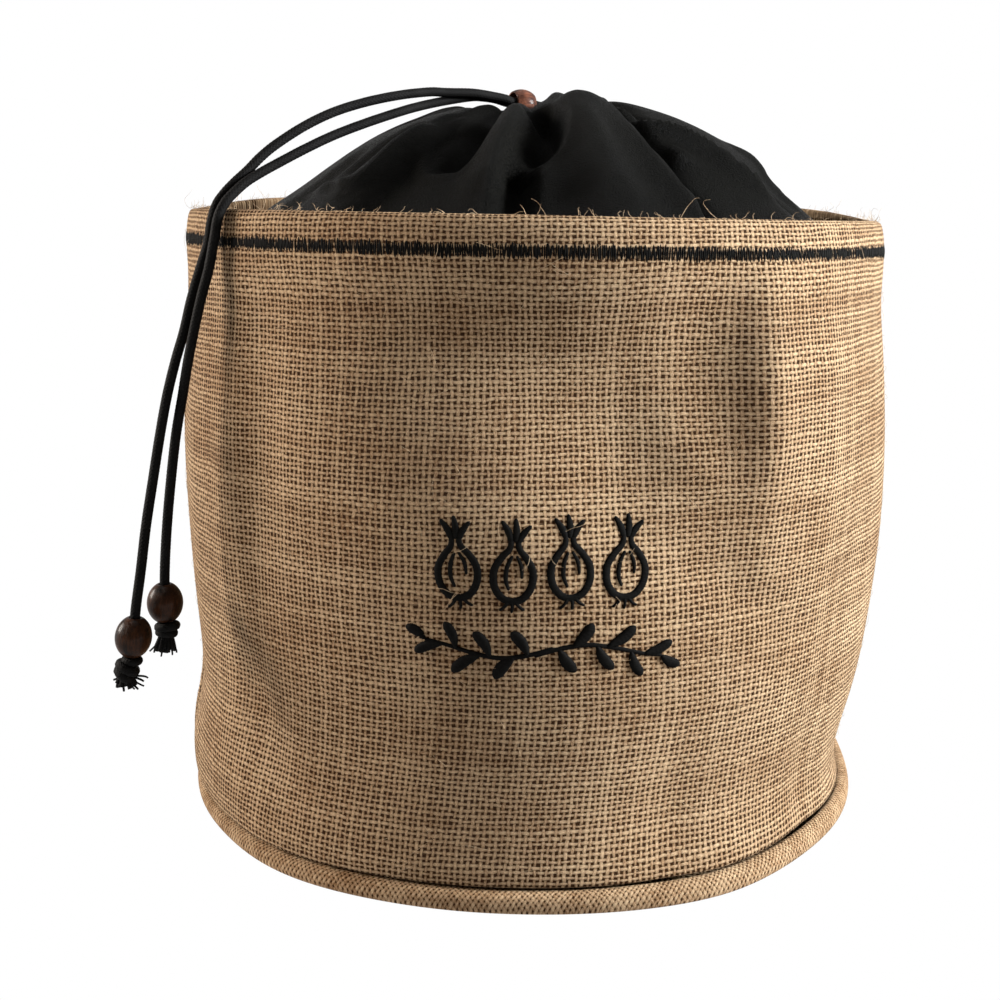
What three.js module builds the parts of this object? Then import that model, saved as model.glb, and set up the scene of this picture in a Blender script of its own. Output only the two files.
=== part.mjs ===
// A round storage bag for onions: a tub of hessian with a black cotton top that a cord draws shut.
// Millimetres, +Z up. The origin is on the underside, below the middle of the rim.
// The front faces -Y. Angles are degrees round the bag from its front, positive towards +X.

import * as THREE from 'three';

// Driving sizes of the tub
const rimRadius = 125;
const bagHeight = 205;
const juteThickness = 1.8;
const hemThickness = 3.8;
const hemDepth = 12;
const rimSlope = 4.8;
const baseRadius = 123;
const baseOffset = -3;
const baseForward = 5.5;
const baseThickness = 1.8;
const weltHeight = 7;
const weltWidth = 6;

// Driving sizes of the drawn top
const cottonThickness = 1.0;
const crownRise = 43;
const mouthPleats = 18;
const pleatLift = 0.6;

// Driving sizes of the cord and its beads
const cordDiameter = 3.2;
const toggleDiameter = 10.8;
const toggleLength = 7.6;
const endBeadDiameter = 11.4;
const endBeadLength = 12.4;
const knotDiameter = 8;
const knotLength = 11;

// Fits and the fineness of the meshes
const clearance = 0.3;
const wallColumns = 72;
const closureColumns = 76;
const weltColumns = 48;
const cordSides = 8;
const loopColumns = 24;
const beadSides = 12;
const knotSides = 12;

// The tub's sections: height as a share of bagHeight, radius as a share of the tub's radius, which
// goes from baseRadius to rimRadius, and how far the section moves sideways and forward, as shares
// of what the base itself does.
const wallSections = [
  { height: 0.000, radius: 0.988, shift: 1.00, forward: 1.00 },
  { height: 0.073, radius: 0.982, shift: 2.08, forward: 0.85 },
  { height: 0.137, radius: 0.983, shift: 1.80, forward: 0.60 },
  { height: 0.234, radius: 0.992, shift: 0.47, forward: 0.30 },
  { height: 0.327, radius: 1.008, shift: 0.25, forward: 0.10 },
  { height: 0.420, radius: 1.022, shift: 0.00, forward: 0.00 },
  { height: 0.595, radius: 1.029, shift: 0.00, forward: 0.00 },
  { height: 0.780, radius: 1.012, shift: 0.00, forward: 0.00 },
  { height: 0.854, radius: 0.999, shift: 0.00, forward: 0.00 },
  { height: 0.946, radius: 1.007, shift: 0.00, forward: 0.00 },
  { height: 1.000, radius: 0.997, shift: 0.00, forward: 0.00 },
];

// How far the rim stands above its own middle height, as a share of rimRadius, by the turn from
// the bag's front to either side: it sags a little at the sides and stands up round the back.
const rimLifts = [
  { turn: 0, lift: 0.009 },
  { turn: 60, lift: 0.005 },
  { turn: 88, lift: 0.002 },
  { turn: 120, lift: 0.036 },
  { turn: 180, lift: 0.048 },
];

// Dents and, where depth is negative, ridges of the tub. Angle and width are degrees, height and
// length are shares of bagHeight, depth is a share of rimRadius, and drift is the degrees that
// the line turns over the whole bagHeight as it climbs.
const wallDents = [
  { angle: -49, height: 0.66, drift: 6, width: 6.5, length: 0.23, depth: 0.030 },
  { angle: -47, height: 0.23, drift: -60, width: 6.0, length: 0.10, depth: 0.020 },
  { angle: -61, height: 0.62, drift: 8, width: 5.5, length: 0.26, depth: -0.010 },
  { angle: -2, height: 0.82, drift: -110, width: 22.0, length: 0.07, depth: 0.022 },
  { angle: 31, height: 0.73, drift: 0, width: 5.5, length: 0.15, depth: 0.050 },
  { angle: 40, height: 0.70, drift: 0, width: 4.5, length: 0.17, depth: -0.020 },
  { angle: 21, height: 0.68, drift: 10, width: 4.0, length: 0.08, depth: -0.009 },
  { angle: 29, height: 0.44, drift: -140, width: 4.5, length: 0.06, depth: 0.010 },
  { angle: 20, height: 0.10, drift: 10, width: 5.0, length: 0.10, depth: 0.013 },
  { angle: 58, height: 0.40, drift: 20, width: 9.0, length: 0.20, depth: 0.010 },
  { angle: -8, height: 0.75, drift: 0, width: 4.5, length: 0.06, depth: -0.008 },
  { angle: -68, height: 0.12, drift: -150, width: 5.0, length: 0.06, depth: 0.010 },
  { angle: -82, height: 0.19, drift: 0, width: 14.0, length: 0.05, depth: 0.014 },
  { angle: 88, height: 0.04, drift: 0, width: 18.0, length: 0.09, depth: 0.026 },
  { angle: 84, height: 0.075, drift: 0, width: 18.0, length: 0.04, depth: 0.030 },
  { angle: 26, height: 0.00, drift: 0, width: 16.0, length: 0.10, depth: -0.040 },
  { angle: -38, height: 0.00, drift: 0, width: 12.0, length: 0.10, depth: -0.016 },
  { angle: 118, height: 0.62, drift: 12, width: 8.0, length: 0.22, depth: 0.020 },
  { angle: 152, height: 0.34, drift: -30, width: 10.0, length: 0.18, depth: 0.016 },
  { angle: 186, height: 0.74, drift: 20, width: 14.0, length: 0.10, depth: 0.016 },
  { angle: 219, height: 0.50, drift: 18, width: 7.0, length: 0.24, depth: 0.022 },
  { angle: 250, height: 0.28, drift: -20, width: 9.0, length: 0.12, depth: 0.014 },
];

// Heights of the wall's rings of points, as shares of the height between the welt and the rim.
const outerRings = [0, 0.035, 0.075, 0.125, 0.185, 0.26, 0.345, 0.435, 0.53, 0.62, 0.705, 0.785,
  0.855, 0.915, 0.965];
const innerRings = [0.86, 0.74, 0.60, 0.46, 0.32, 0.20, 0.09, 0];
const foldTurns = [0, 60, 120, 180];

// The drawn top's mean section from the seam to the throat: reach is a share of rimRadius, rise
// above the rim a share of crownRise, and seam says how far the point still follows the wall.
const closureSections = [
  { reach: 0.972, rise: -0.290, seam: 1.0 },
  { reach: 0.962, rise: -0.235, seam: 1.0 },
  { reach: 0.900, rise: -0.190, seam: 0.5 },
  { reach: 0.820, rise: -0.070, seam: 0.2 },
  { reach: 0.750, rise: 0.080, seam: 0.1 },
  { reach: 0.680, rise: 0.230, seam: 0.0 },
  { reach: 0.600, rise: 0.400, seam: 0.0 },
  { reach: 0.510, rise: 0.575, seam: 0.0 },
  { reach: 0.420, rise: 0.705, seam: 0.0 },
  { reach: 0.335, rise: 0.795, seam: 0.0 },
  { reach: 0.260, rise: 0.855, seam: 0.0 },
  { reach: 0.205, rise: 0.860, seam: 0.0 },
  { reach: 0.158, rise: 0.790, seam: 0.0 },
  { reach: 0.124, rise: 0.620, seam: 0.0 },
  { reach: 0.126, rise: 0.480, seam: 0.0 },
];

// Folds of the drawn top. A fold runs from its angle at the mouth to its angle at the rim, bowed
// by some degrees half way. Lift is a share of crownRise, below nought for a hollow, left and
// right are its widths in degrees, and it lies between two reaches, shares of rimRadius.
const closureFolds = [
  { mouth: -42, rim: -46, bow: 0, lift: 0.030, left: 32, right: 8, inner: 0.36, outer: 0.86 },
  { mouth: -31, rim: -34, bow: 0, lift: -0.085, left: 7, right: 12, inner: 0.46, outer: 0.86 },
  { mouth: -18, rim: -21, bow: 0, lift: -0.165, left: 13, right: 8, inner: 0.26, outer: 0.60 },
  { mouth: -6, rim: -11, bow: 0, lift: 0.055, left: 9, right: 5, inner: 0.30, outer: 0.92 },
  { mouth: 1, rim: 8, bow: 2, lift: -0.170, left: 9, right: 4, inner: 0.28, outer: 0.61 },
  { mouth: -3, rim: -3, bow: 0, lift: -0.120, left: 4, right: 13, inner: 0.68, outer: 0.94 },
  { mouth: 15, rim: 17, bow: 0, lift: 0.120, left: 15, right: 12, inner: 0.20, outer: 0.90 },
  { mouth: 25, rim: 30, bow: 0, lift: 0.055, left: 10, right: 4, inner: 0.25, outer: 0.96 },
  { mouth: 31, rim: 35, bow: 0, lift: -0.075, left: 4, right: 9, inner: 0.30, outer: 0.90 },
  { mouth: 30, rim: 55, bow: 7, lift: 0.085, left: 13, right: 5, inner: 0.34, outer: 0.94 },
  { mouth: 28, rim: 46, bow: 2, lift: 0.030, left: 4, right: 4, inner: 0.36, outer: 0.58 },
  { mouth: 48, rim: 60, bow: 0, lift: -0.130, left: 8, right: 10, inner: 0.27, outer: 0.46 },
  { mouth: 44, rim: 60, bow: 6, lift: -0.070, left: 5, right: 8, inner: 0.52, outer: 0.90 },
  { mouth: 78, rim: 74, bow: 0, lift: 0.125, left: 27, right: 18, inner: 0.20, outer: 0.61 },
  { mouth: 92, rim: 70, bow: 0, lift: 0.055, left: 9, right: 4, inner: 0.60, outer: 0.94 },
  { mouth: -60, rim: -56, bow: 0, lift: -0.045, left: 6, right: 6, inner: 0.60, outer: 0.84 },
];
const closureFade = 0.08;

// The folds round the back repeat at an even spacing, each ridge with a hollow beside it.
const backFolds = { first: 104, spacing: 19.5, count: 9, turn: 3, lift: 0.050, width: 10,
  inner: 0.24, outer: 0.80 };

// The middle of each tail of the cord, from inside the mouth, through the toggle bead, over the
// rim and down beside the bag to its knot. These points are chosen by hand, and their heights are
// above the rim.
const longTailRoute = [
  [7.4, -4.4, 28.5], [6.6, -7.8, 33.6], [3.8, -10.6, 37.4], [0.2, -11.6, 38.8], [-4.1, -13.5, 39.1],
  [-8.4, -16.0, 39.8], [-10.6, -17.3, 40.6], [-14.4, -19.4, 41.3], [-18.4, -22.4, 41.8],
  [-22.6, -25.2, 42.1], [-30.9, -29.8, 41.9], [-36.1, -33.6, 41.8], [-45.7, -40.6, 40.2],
  [-56.4, -47.6, 37.4], [-66.2, -54.1, 33.7], [-74.8, -60.0, 28.9], [-82.7, -65.0, 23.2],
  [-87.4, -68.0, 19.0], [-91.7, -71.0, 14.1], [-95.1, -73.3, 10.6], [-98.0, -75.5, 7.1],
  [-100.2, -77.1, 3.5], [-101.7, -77.9, -1.6], [-103.1, -78.0, -8.8], [-106.1, -78.2, -17.9],
  [-108.8, -78.4, -26.7], [-111.1, -79.0, -36.2], [-113.8, -80.4, -45.8], [-116.3, -82.0, -56.5],
  [-118.4, -83.8, -68.6], [-120.5, -85.8, -82.6], [-122.5, -88.0, -96.7], [-124.1, -89.8, -110.7],
  [-125.7, -91.0, -122.5], [-126.5, -91.6, -131.0], [-127.2, -91.9, -137.8],
];
const shortTailRoute = [
  [4.2, -1.4, 27.6], [4.0, -3.6, 31.8], [2.0, -6.4, 36.2], [-1.6, -8.0, 38.3], [-5.9, -10.5, 38.9],
  [-10.2, -13.1, 39.6], [-14.4, -15.7, 40.7], [-18.5, -18.7, 41.1], [-22.6, -21.6, 41.0],
  [-31.0, -27.2, 39.3], [-38.9, -33.0, 37.2], [-45.7, -40.4, 34.7], [-56.3, -48.3, 30.5],
  [-66.0, -55.8, 26.1], [-74.5, -62.5, 21.4], [-82.3, -68.0, 16.7], [-86.9, -71.3, 13.8],
  [-91.1, -74.5, 10.8], [-94.3, -77.1, 7.6], [-96.9, -79.3, 4.3], [-98.9, -80.9, -0.3],
  [-100.2, -81.6, -7.2], [-102.1, -81.6, -16.2], [-104.8, -81.8, -25.8], [-107.3, -81.8, -35.9],
  [-109.5, -81.6, -45.7], [-111.6, -81.3, -56.6], [-114.1, -81.0, -69.1], [-116.2, -80.6, -83.5],
  [-118.0, -80.2, -98.3], [-119.2, -80.0, -112.5], [-119.5, -80.0, -122.8], [-119.4, -80.0, -130.2],
];
const toggleCentre = [-5.0, -12.0, 39.0];
const toggleAxis = [-0.862, -0.503, 0.072];
const longTailSteps = 38;
const shortTailSteps = 34;

// What the sizes above give
const cordRadius = cordDiameter / 2;
const wallBottom = weltHeight + clearance;
const throat = closureSections.reduce((least, row) => (row.reach < least.reach ? row : least));
const loopRadius = rimRadius * throat.reach - cordRadius - clearance;
const loopHeight = bagHeight + crownRise * throat.rise;

const aboveRim = ([x, y, z]) => new THREE.Vector3(x, y, bagHeight + z);
const radians = (degrees) => degrees * Math.PI / 180;
const bell = (x) => Math.exp(-x * x);
const smooth = (x) => {
  const t = Math.min(Math.max(x, 0), 1);
  return t * t * (3 - 2 * t);
};

// The smallest turn from one angle to another, in degrees.
function turnBetween(from, to) {
  return ((to - from + 540) % 360 + 360) % 360 - 180;
}

// A smooth curve through one column of a table, read at a key of another column.
function readTable(rows, keyName, valueName, key) {
  const last = rows.length - 1;
  let i = 0;
  while (i < last - 1 && key > rows[i + 1][keyName]) i += 1;
  const a = rows[i];
  const b = rows[i + 1];
  const before = rows[Math.max(i - 1, 0)];
  const after = rows[Math.min(i + 2, last)];
  const span = b[keyName] - a[keyName];
  const t = Math.min(Math.max((key - a[keyName]) / span, 0), 1);
  const slopeA = (b[valueName] - before[valueName]) / (b[keyName] - before[keyName]) * span;
  const slopeB = (after[valueName] - a[valueName]) / (after[keyName] - a[keyName]) * span;
  const t2 = t * t;
  const t3 = t2 * t;
  return a[valueName] * (2 * t3 - 3 * t2 + 1) + slopeA * (t3 - 2 * t2 + t)
    + b[valueName] * (3 * t2 - 2 * t3) + slopeB * (t3 - t2);
}

// How far the wall is pushed in at a place, in millimetres.
function dentDepth(angle, height) {
  return wallDents.reduce((sum, dent) => {
    const up = height / bagHeight - dent.height;
    const side = turnBetween(dent.angle + dent.drift * up, angle) / dent.width;
    return sum + rimRadius * dent.depth * bell(side) * bell(up / dent.length);
  }, 0);
}

// How far the rim stands above bagHeight: its slope from side to side and its own lifts.
function rimRise(angle) {
  return -rimSlope / 2 * Math.sin(radians(angle))
    + rimRadius * readTable(rimLifts, 'turn', 'lift', Math.abs(turnBetween(0, angle)));
}

// A point on the wall, inset from its outer face. The rim's rise grows with the height.
function wallPoint(angle, height, inset) {
  const share = height / bagHeight;
  const tubRadius = baseRadius + (rimRadius - baseRadius) * smooth(share);
  const radius = tubRadius * readTable(wallSections, 'height', 'radius', share)
    - dentDepth(angle, height) - inset;
  const shift = baseOffset * readTable(wallSections, 'height', 'shift', share);
  const forward = baseForward * readTable(wallSections, 'height', 'forward', share);
  return new THREE.Vector3(shift + radius * Math.sin(radians(angle)),
    -forward - radius * Math.cos(radians(angle)), height + rimRise(angle) * share * share);
}

// The outline of the base: a circle off to one side, dented as the wall's foot is.
function basePoint(angle, inset, z) {
  const radius = baseRadius - dentDepth(angle, weltHeight) - inset;
  return new THREE.Vector3(baseOffset + radius * Math.sin(radians(angle)),
    -baseForward - radius * Math.cos(radians(angle)), z);
}

// A ring-shaped body: a closed section of points, carried round the bag and back to its start.
function ringGeometry(columns, section) {
  const positions = [];
  const faces = [];
  let count = 0;
  for (let i = 0; i < columns; i += 1) {
    const points = section(360 * i / columns);
    count = points.length;
    points.forEach((point) => positions.push(point.x, point.y, point.z));
  }
  for (let i = 0; i < columns; i += 1) {
    const next = (i + 1) % columns;
    for (let k = 0; k < count; k += 1) {
      const above = (k + 1) % count;
      const a = i * count + k;
      const b = next * count + k;
      const c = next * count + above;
      const d = i * count + above;
      faces.push(a, b, c, a, c, d);
    }
  }
  const geometry = new THREE.BufferGeometry();
  geometry.setAttribute('position', new THREE.Float32BufferAttribute(positions, 3));
  geometry.setIndex(faces);
  geometry.computeVertexNormals();
  return geometry;
}

// The hessian wall, with the hem folded in round the rim. The section runs up the outer face,
// over the fold and down the inner face.
function juteWallGeometry() {
  const rimHeight = bagHeight - hemThickness / 2;
  const heightAt = (share) => wallBottom + (rimHeight - wallBottom) * share;
  const foldRadius = hemThickness / 2;
  return ringGeometry(wallColumns, (angle) => {
    const points = outerRings.map((share) => wallPoint(angle, heightAt(share), 0));
    for (const turn of foldTurns) {
      const rise = foldRadius * Math.sin(radians(turn));
      const inset = foldRadius * (1 - Math.cos(radians(turn)));
      points.push(wallPoint(angle, rimHeight + rise, inset));
    }
    points.push(wallPoint(angle, bagHeight - hemDepth, hemThickness));
    points.push(wallPoint(angle, bagHeight - hemDepth - juteThickness / 2, juteThickness));
    innerRings.forEach((share) => points.push(wallPoint(angle, heightAt(share), juteThickness)));
    return points;
  });
}

// The rolled welt that joins the wall to the base, flat underneath and round outside.
function baseWeltGeometry() {
  const corner = weltWidth * 0.3;
  const outline = [[corner, 0], [corner * 0.3, corner * 0.35], [0, weltHeight * 0.45],
    [corner * 0.25, weltHeight * 0.8], [corner, weltHeight], [weltWidth, weltHeight],
    [weltWidth, 0]];
  return ringGeometry(weltColumns, (angle) => outline.map(([inset, z]) => basePoint(angle, inset, z)));
}

// The round base panel inside the welt.
function baseDiscGeometry() {
  const shape = new THREE.Shape();
  for (let i = 0; i < weltColumns; i += 1) {
    const point = basePoint(360 * i / weltColumns, weltWidth + clearance, 0);
    if (i === 0) shape.moveTo(point.x, point.y);
    else shape.lineTo(point.x, point.y);
  }
  return new THREE.ExtrudeGeometry(shape, { depth: baseThickness, bevelEnabled: false });
}

// One side of a fold: full at its line, nothing at its width.
function foldSide(turn, left, right) {
  const x = Math.abs(turn) / (turn < 0 ? left : right);
  return x < 1 ? (1 + Math.cos(Math.PI * x)) / 2 : 0;
}

// How far the drawn top stands proud of its mean section, as a share of crownRise.
function foldLift(angle, reach) {
  const sectionStart = closureSections[0].reach;
  const along = Math.min(Math.max((reach - 0.2) / (sectionStart - 0.2), 0), 1);
  const rowLift = (fold) => {
    const line = fold.mouth + (fold.rim - fold.mouth) * along
      + fold.bow * Math.sin(Math.PI * along);
    const inside = smooth((reach - fold.inner) / closureFade + 1)
      * smooth((fold.outer - reach) / closureFade + 1);
    return fold.lift * inside * foldSide(turnBetween(line, angle), fold.left, fold.right);
  };
  let lift = closureFolds.reduce((sum, fold) => sum + rowLift(fold), 0);
  for (let i = 0; i < backFolds.count; i += 1) {
    const middle = backFolds.first + backFolds.spacing * i;
    const turn = backFolds.turn * Math.sin(2.4 * i);
    const ridge = { ...backFolds, mouth: middle, rim: middle + turn, bow: 0,
      left: backFolds.width, right: backFolds.width * 0.6 };
    const hollow = { ...ridge, mouth: ridge.mouth + backFolds.spacing / 2,
      rim: ridge.rim + backFolds.spacing / 2, lift: -backFolds.lift, right: backFolds.width };
    lift += rowLift(ridge) + rowLift(hollow);
  }
  return lift;
}

// A point of the drawn top at a row of its section, sunk into the cloth by an inset.
function closurePoint(angle, row, inset) {
  const here = closureSections[row];
  const before = closureSections[Math.max(row - 1, 0)];
  const after = closureSections[Math.min(row + 1, closureSections.length - 1)];
  const alongReach = (after.reach - before.reach) * rimRadius;
  const alongRise = (after.rise - before.rise) * crownRise;
  const length = Math.hypot(alongReach, alongRise);
  const seat = wallPoint(angle, bagHeight - hemDepth, hemThickness + clearance);
  const flatReach = Math.hypot(seat.x, seat.y) / rimRadius;
  const gather = 1 + (flatReach / closureSections[0].reach - 1) * here.seam;
  const pleat = pleatLift * Math.sin(radians(mouthPleats * angle))
    * smooth((here.reach - 0.13) / 0.05) * smooth((0.34 - here.reach) / 0.08);
  const lift = crownRise * foldLift(angle, here.reach) * (1 - smooth(here.seam)) + pleat - inset;
  const radius = rimRadius * here.reach * gather + alongRise / length * lift;
  const rise = crownRise * here.rise + rimRise(angle) * smooth((here.reach - 0.64) / 0.3);
  return new THREE.Vector3(radius * Math.sin(radians(angle)), -radius * Math.cos(radians(angle)),
    bagHeight + rise - alongReach / length * lift);
}

// The black cotton top, one cloth wall from the seam under the rim to the lip in its throat.
function closurePanelGeometry() {
  return ringGeometry(closureColumns, (angle) => {
    const outer = closureSections.map((row, i) => closurePoint(angle, i, 0));
    const inner = closureSections.map((row, i) => closurePoint(angle, i, cottonThickness));
    return [...outer, ...inner.reverse()];
  });
}

// The stretch of cord that lies round the throat and gathers the cloth.
function drawLoopGeometry() {
  const profile = [];
  for (let i = 0; i <= cordSides; i += 1) {
    const turn = 2 * Math.PI * i / cordSides;
    profile.push(new THREE.Vector2(loopRadius + cordRadius * Math.cos(turn),
      cordRadius * Math.sin(turn)));
  }
  profile[cordSides] = profile[0].clone();
  return new THREE.LatheGeometry(profile, loopColumns).rotateX(Math.PI / 2);
}

// A tail of cord along its route.
function cordGeometry(route, steps) {
  const section = new THREE.Shape();
  for (let i = 0; i < cordSides; i += 1) {
    const turn = 2 * Math.PI * i / cordSides;
    const x = cordRadius * Math.cos(turn);
    const y = cordRadius * Math.sin(turn);
    if (i === 0) section.moveTo(x, y);
    else section.lineTo(x, y);
  }
  const path = new THREE.CatmullRomCurve3(route.map(aboveRim));
  return new THREE.ExtrudeGeometry(section, { steps, extrudePath: path });
}

// A drilled wooden bead about its own Z axis, with a small flat round each end of the hole.
function beadGeometry(diameter, length, holeRadius) {
  const radius = diameter / 2;
  const rings = 6;
  const flatRadius = holeRadius + 0.5;
  const endAngle = Math.acos(flatRadius / radius);
  const profile = [new THREE.Vector2(holeRadius, -length / 2)];
  for (let i = 0; i <= rings; i += 1) {
    const turn = -endAngle + 2 * endAngle * i / rings;
    profile.push(new THREE.Vector2(radius * Math.cos(turn),
      length / 2 * Math.sin(turn) / Math.sin(endAngle)));
  }
  profile.push(new THREE.Vector2(holeRadius, length / 2));
  profile.push(profile[0].clone());
  return new THREE.LatheGeometry(profile, beadSides).rotateX(Math.PI / 2);
}

// A knot with the frayed end below it, hanging down its own -Z axis from nought. Each row gives
// the way down as a share of knotLength, the radius as a share of knotDiameter, and the depth
// of the flutes between the locks of the tuft.
const knotSections = [
  { down: 0.00, radius: 0.26, flute: 0.00 },
  { down: 0.10, radius: 0.44, flute: 0.04 },
  { down: 0.26, radius: 0.50, flute: 0.06 },
  { down: 0.42, radius: 0.43, flute: 0.08 },
  { down: 0.54, radius: 0.34, flute: 0.12 },
  { down: 0.75, radius: 0.40, flute: 0.24 },
  { down: 1.00, radius: 0.46, flute: 0.42 },
];

function knotGeometry() {
  const positions = [];
  const faces = [];
  const count = knotSections.length;
  knotSections.forEach((row) => {
    for (let i = 0; i < knotSides; i += 1) {
      const turn = 2 * Math.PI * i / knotSides;
      const radius = knotDiameter * row.radius * (1 - row.flute * (i % 2));
      positions.push(radius * Math.cos(turn), radius * Math.sin(turn), -knotLength * row.down);
    }
  });
  positions.push(0, 0, 0);
  positions.push(0, 0, -knotLength * 0.93);
  const top = count * knotSides;
  const foot = top + 1;
  for (let i = 0; i < knotSides; i += 1) {
    const next = (i + 1) % knotSides;
    for (let k = 0; k < count - 1; k += 1) {
      const a = k * knotSides + i;
      const b = k * knotSides + next;
      faces.push(a, a + knotSides, b + knotSides, a, b + knotSides, b);
    }
    faces.push(top, i, next);
    faces.push(foot, (count - 1) * knotSides + next, (count - 1) * knotSides + i);
  }
  const geometry = new THREE.BufferGeometry();
  geometry.setAttribute('position', new THREE.Float32BufferAttribute(positions, 3));
  geometry.setIndex(faces);
  geometry.computeVertexNormals();
  return geometry;
}

// Finishes
const jute = new THREE.MeshStandardMaterial({ color: 0xb09068, roughness: 0.95, metalness: 0 });
const cotton = new THREE.MeshStandardMaterial({ color: 0x1b1b19, roughness: 0.9, metalness: 0 });
const cord = new THREE.MeshStandardMaterial({ color: 0x121212, roughness: 0.85, metalness: 0 });
const redWood = new THREE.MeshStandardMaterial({ color: 0x6a3b2c, roughness: 0.4, metalness: 0 });
const darkWood = new THREE.MeshStandardMaterial({ color: 0x3a2115, roughness: 0.3, metalness: 0 });

const bag = new THREE.Group();

function add(name, geometry, material) {
  const mesh = new THREE.Mesh(geometry, material);
  mesh.name = name;
  bag.add(mesh);
  return mesh;
}

// Turns a mesh so that its own +Z axis points a given way, then puts it at a place.
function place(mesh, position, axis) {
  const up = new THREE.Vector3(0, 0, 1);
  mesh.quaternion.setFromUnitVectors(up, axis.clone().normalize());
  mesh.position.copy(position);
}

// An end bead and its knot sit at the end of a tail, along the way that the tail points there.
function addTail(side, route, steps) {
  add(`cord_tail_${side}`, cordGeometry(route, steps), cord);
  const points = route.map(aboveRim);
  const end = points[points.length - 1];
  const upwards = points[points.length - 2].clone().sub(end).normalize();
  const knotGap = end.clone().addScaledVector(upwards, -clearance);
  const beadMiddle = end.clone().addScaledVector(upwards, endBeadLength / 2);
  const bead = add(`end_bead_${side}`,
    beadGeometry(endBeadDiameter, endBeadLength, cordRadius + clearance), darkWood);
  place(bead, beadMiddle, upwards);
  const knot = add(`cord_knot_${side}`, knotGeometry(), cord);
  place(knot, knotGap, upwards);
}

add('base_disc', baseDiscGeometry(), jute);
add('base_welt', baseWeltGeometry(), jute);
add('jute_wall', juteWallGeometry(), jute);
add('closure_panel', closurePanelGeometry(), cotton);
add('draw_loop', drawLoopGeometry(), cord).position.z = loopHeight;
addTail('long', longTailRoute, longTailSteps);
addTail('short', shortTailRoute, shortTailSteps);
const toggle = add('toggle_bead',
  beadGeometry(toggleDiameter, toggleLength, cordDiameter + 2 * clearance), redWood);
place(toggle, aboveRim(toggleCentre), new THREE.Vector3(...toggleAxis));

export default bag;
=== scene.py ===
# %% [markdown]
# # A hessian bag with a drawn cotton top
# The solids of the bag are already made and packed. This lesson loads them as a fixed frame and
# gives them the look of the real thing: coarse woven jute, black cotton, braided cord and wood.

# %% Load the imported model
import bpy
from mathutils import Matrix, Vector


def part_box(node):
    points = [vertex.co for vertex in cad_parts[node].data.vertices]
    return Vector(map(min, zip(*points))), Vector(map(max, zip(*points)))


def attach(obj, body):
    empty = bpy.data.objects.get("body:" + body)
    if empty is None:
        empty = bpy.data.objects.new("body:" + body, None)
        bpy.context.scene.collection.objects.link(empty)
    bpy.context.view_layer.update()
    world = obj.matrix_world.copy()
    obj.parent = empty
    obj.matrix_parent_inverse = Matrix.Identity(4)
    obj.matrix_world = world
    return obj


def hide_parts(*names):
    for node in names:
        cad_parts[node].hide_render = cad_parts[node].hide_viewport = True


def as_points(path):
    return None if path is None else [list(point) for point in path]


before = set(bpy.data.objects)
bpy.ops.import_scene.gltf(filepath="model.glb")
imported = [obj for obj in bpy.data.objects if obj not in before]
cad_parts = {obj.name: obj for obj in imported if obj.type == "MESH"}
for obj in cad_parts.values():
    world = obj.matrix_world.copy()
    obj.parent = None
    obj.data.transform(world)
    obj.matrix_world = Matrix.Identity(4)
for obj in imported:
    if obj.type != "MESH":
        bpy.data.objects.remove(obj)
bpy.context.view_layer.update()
print("nodes", sorted(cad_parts))

# %% More of Python's and Blender's own tools
import math
import random
from contextlib import contextmanager

import bpy
from mathutils import Matrix, Vector
from mathutils.bvhtree import BVHTree

MM = 0.001

# %% [markdown]
# ## The camera
# The picture was taken close to the bag, from a little above its rim, so near parts look larger.
# A long lens would flatten it, so the lens and the distance both come from the picture's
# perspective: how round the rim, the stitched band and the base look.

# %% Camera
camera_height = 209.3 * MM
camera_distance = 515 * MM
camera_tilt = 6.5
bpy.ops.object.camera_add(location=(0, -camera_distance, camera_height),
                          rotation=(math.radians(90 - camera_tilt), 0, 0))
camera = bpy.context.object
camera.data.lens = 49.86
camera.data.sensor_width = 36
camera.data.shift_x = -0.0355
camera.data.shift_y = -0.14
bpy.context.scene.camera = camera
print("camera at", tuple(round(c, 4) for c in camera.location))

# %% [markdown]
# ## Helpers for cloth and cord
# Cloth and cord are sheets: one bent, one rolled up. Both can start as a flat grid, which brings
# its own UV map, and each point of the grid is then moved to its place by a function.

# %% A grid that is moved into shape
def deselect_all():
    if bpy.context.object and bpy.context.object.mode != "OBJECT":
        bpy.ops.object.mode_set(mode="OBJECT")
    bpy.ops.object.select_all(action="DESELECT")


def pick(piece):
    deselect_all()
    piece.select_set(True)
    bpy.context.view_layer.objects.active = piece


@contextmanager
def editing(piece, action="SELECT"):
    """Edit mode on one piece, with all of it selected, or none."""
    pick(piece)
    bpy.ops.object.mode_set(mode="EDIT")
    bpy.ops.mesh.select_all(action=action)
    yield
    bpy.ops.object.mode_set(mode="OBJECT")


def tidy_mesh(piece, merge=1e-6):
    """Closes seams, points the faces outwards and shades them smooth."""
    with editing(piece):
        bpy.ops.mesh.remove_doubles(threshold=merge)
        bpy.ops.mesh.dissolve_degenerate(threshold=1e-7)
        bpy.ops.mesh.normals_make_consistent(inside=False)
    bpy.ops.object.shade_smooth()
    return piece


def fill_ends(piece):
    """Closes the open ends of a tube."""
    with editing(piece, "DESELECT"):
        bpy.ops.mesh.select_non_manifold()
        bpy.ops.mesh.edge_face_add()
    return tidy_mesh(piece)


def modify(piece, kind, **settings):
    """Applies a modifier to a piece."""
    pick(piece)
    modifier = piece.modifiers.new(kind.lower(), kind)
    for key, value in settings.items():
        setattr(modifier, key, value)
    bpy.ops.object.modifier_apply(modifier=modifier.name)


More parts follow.
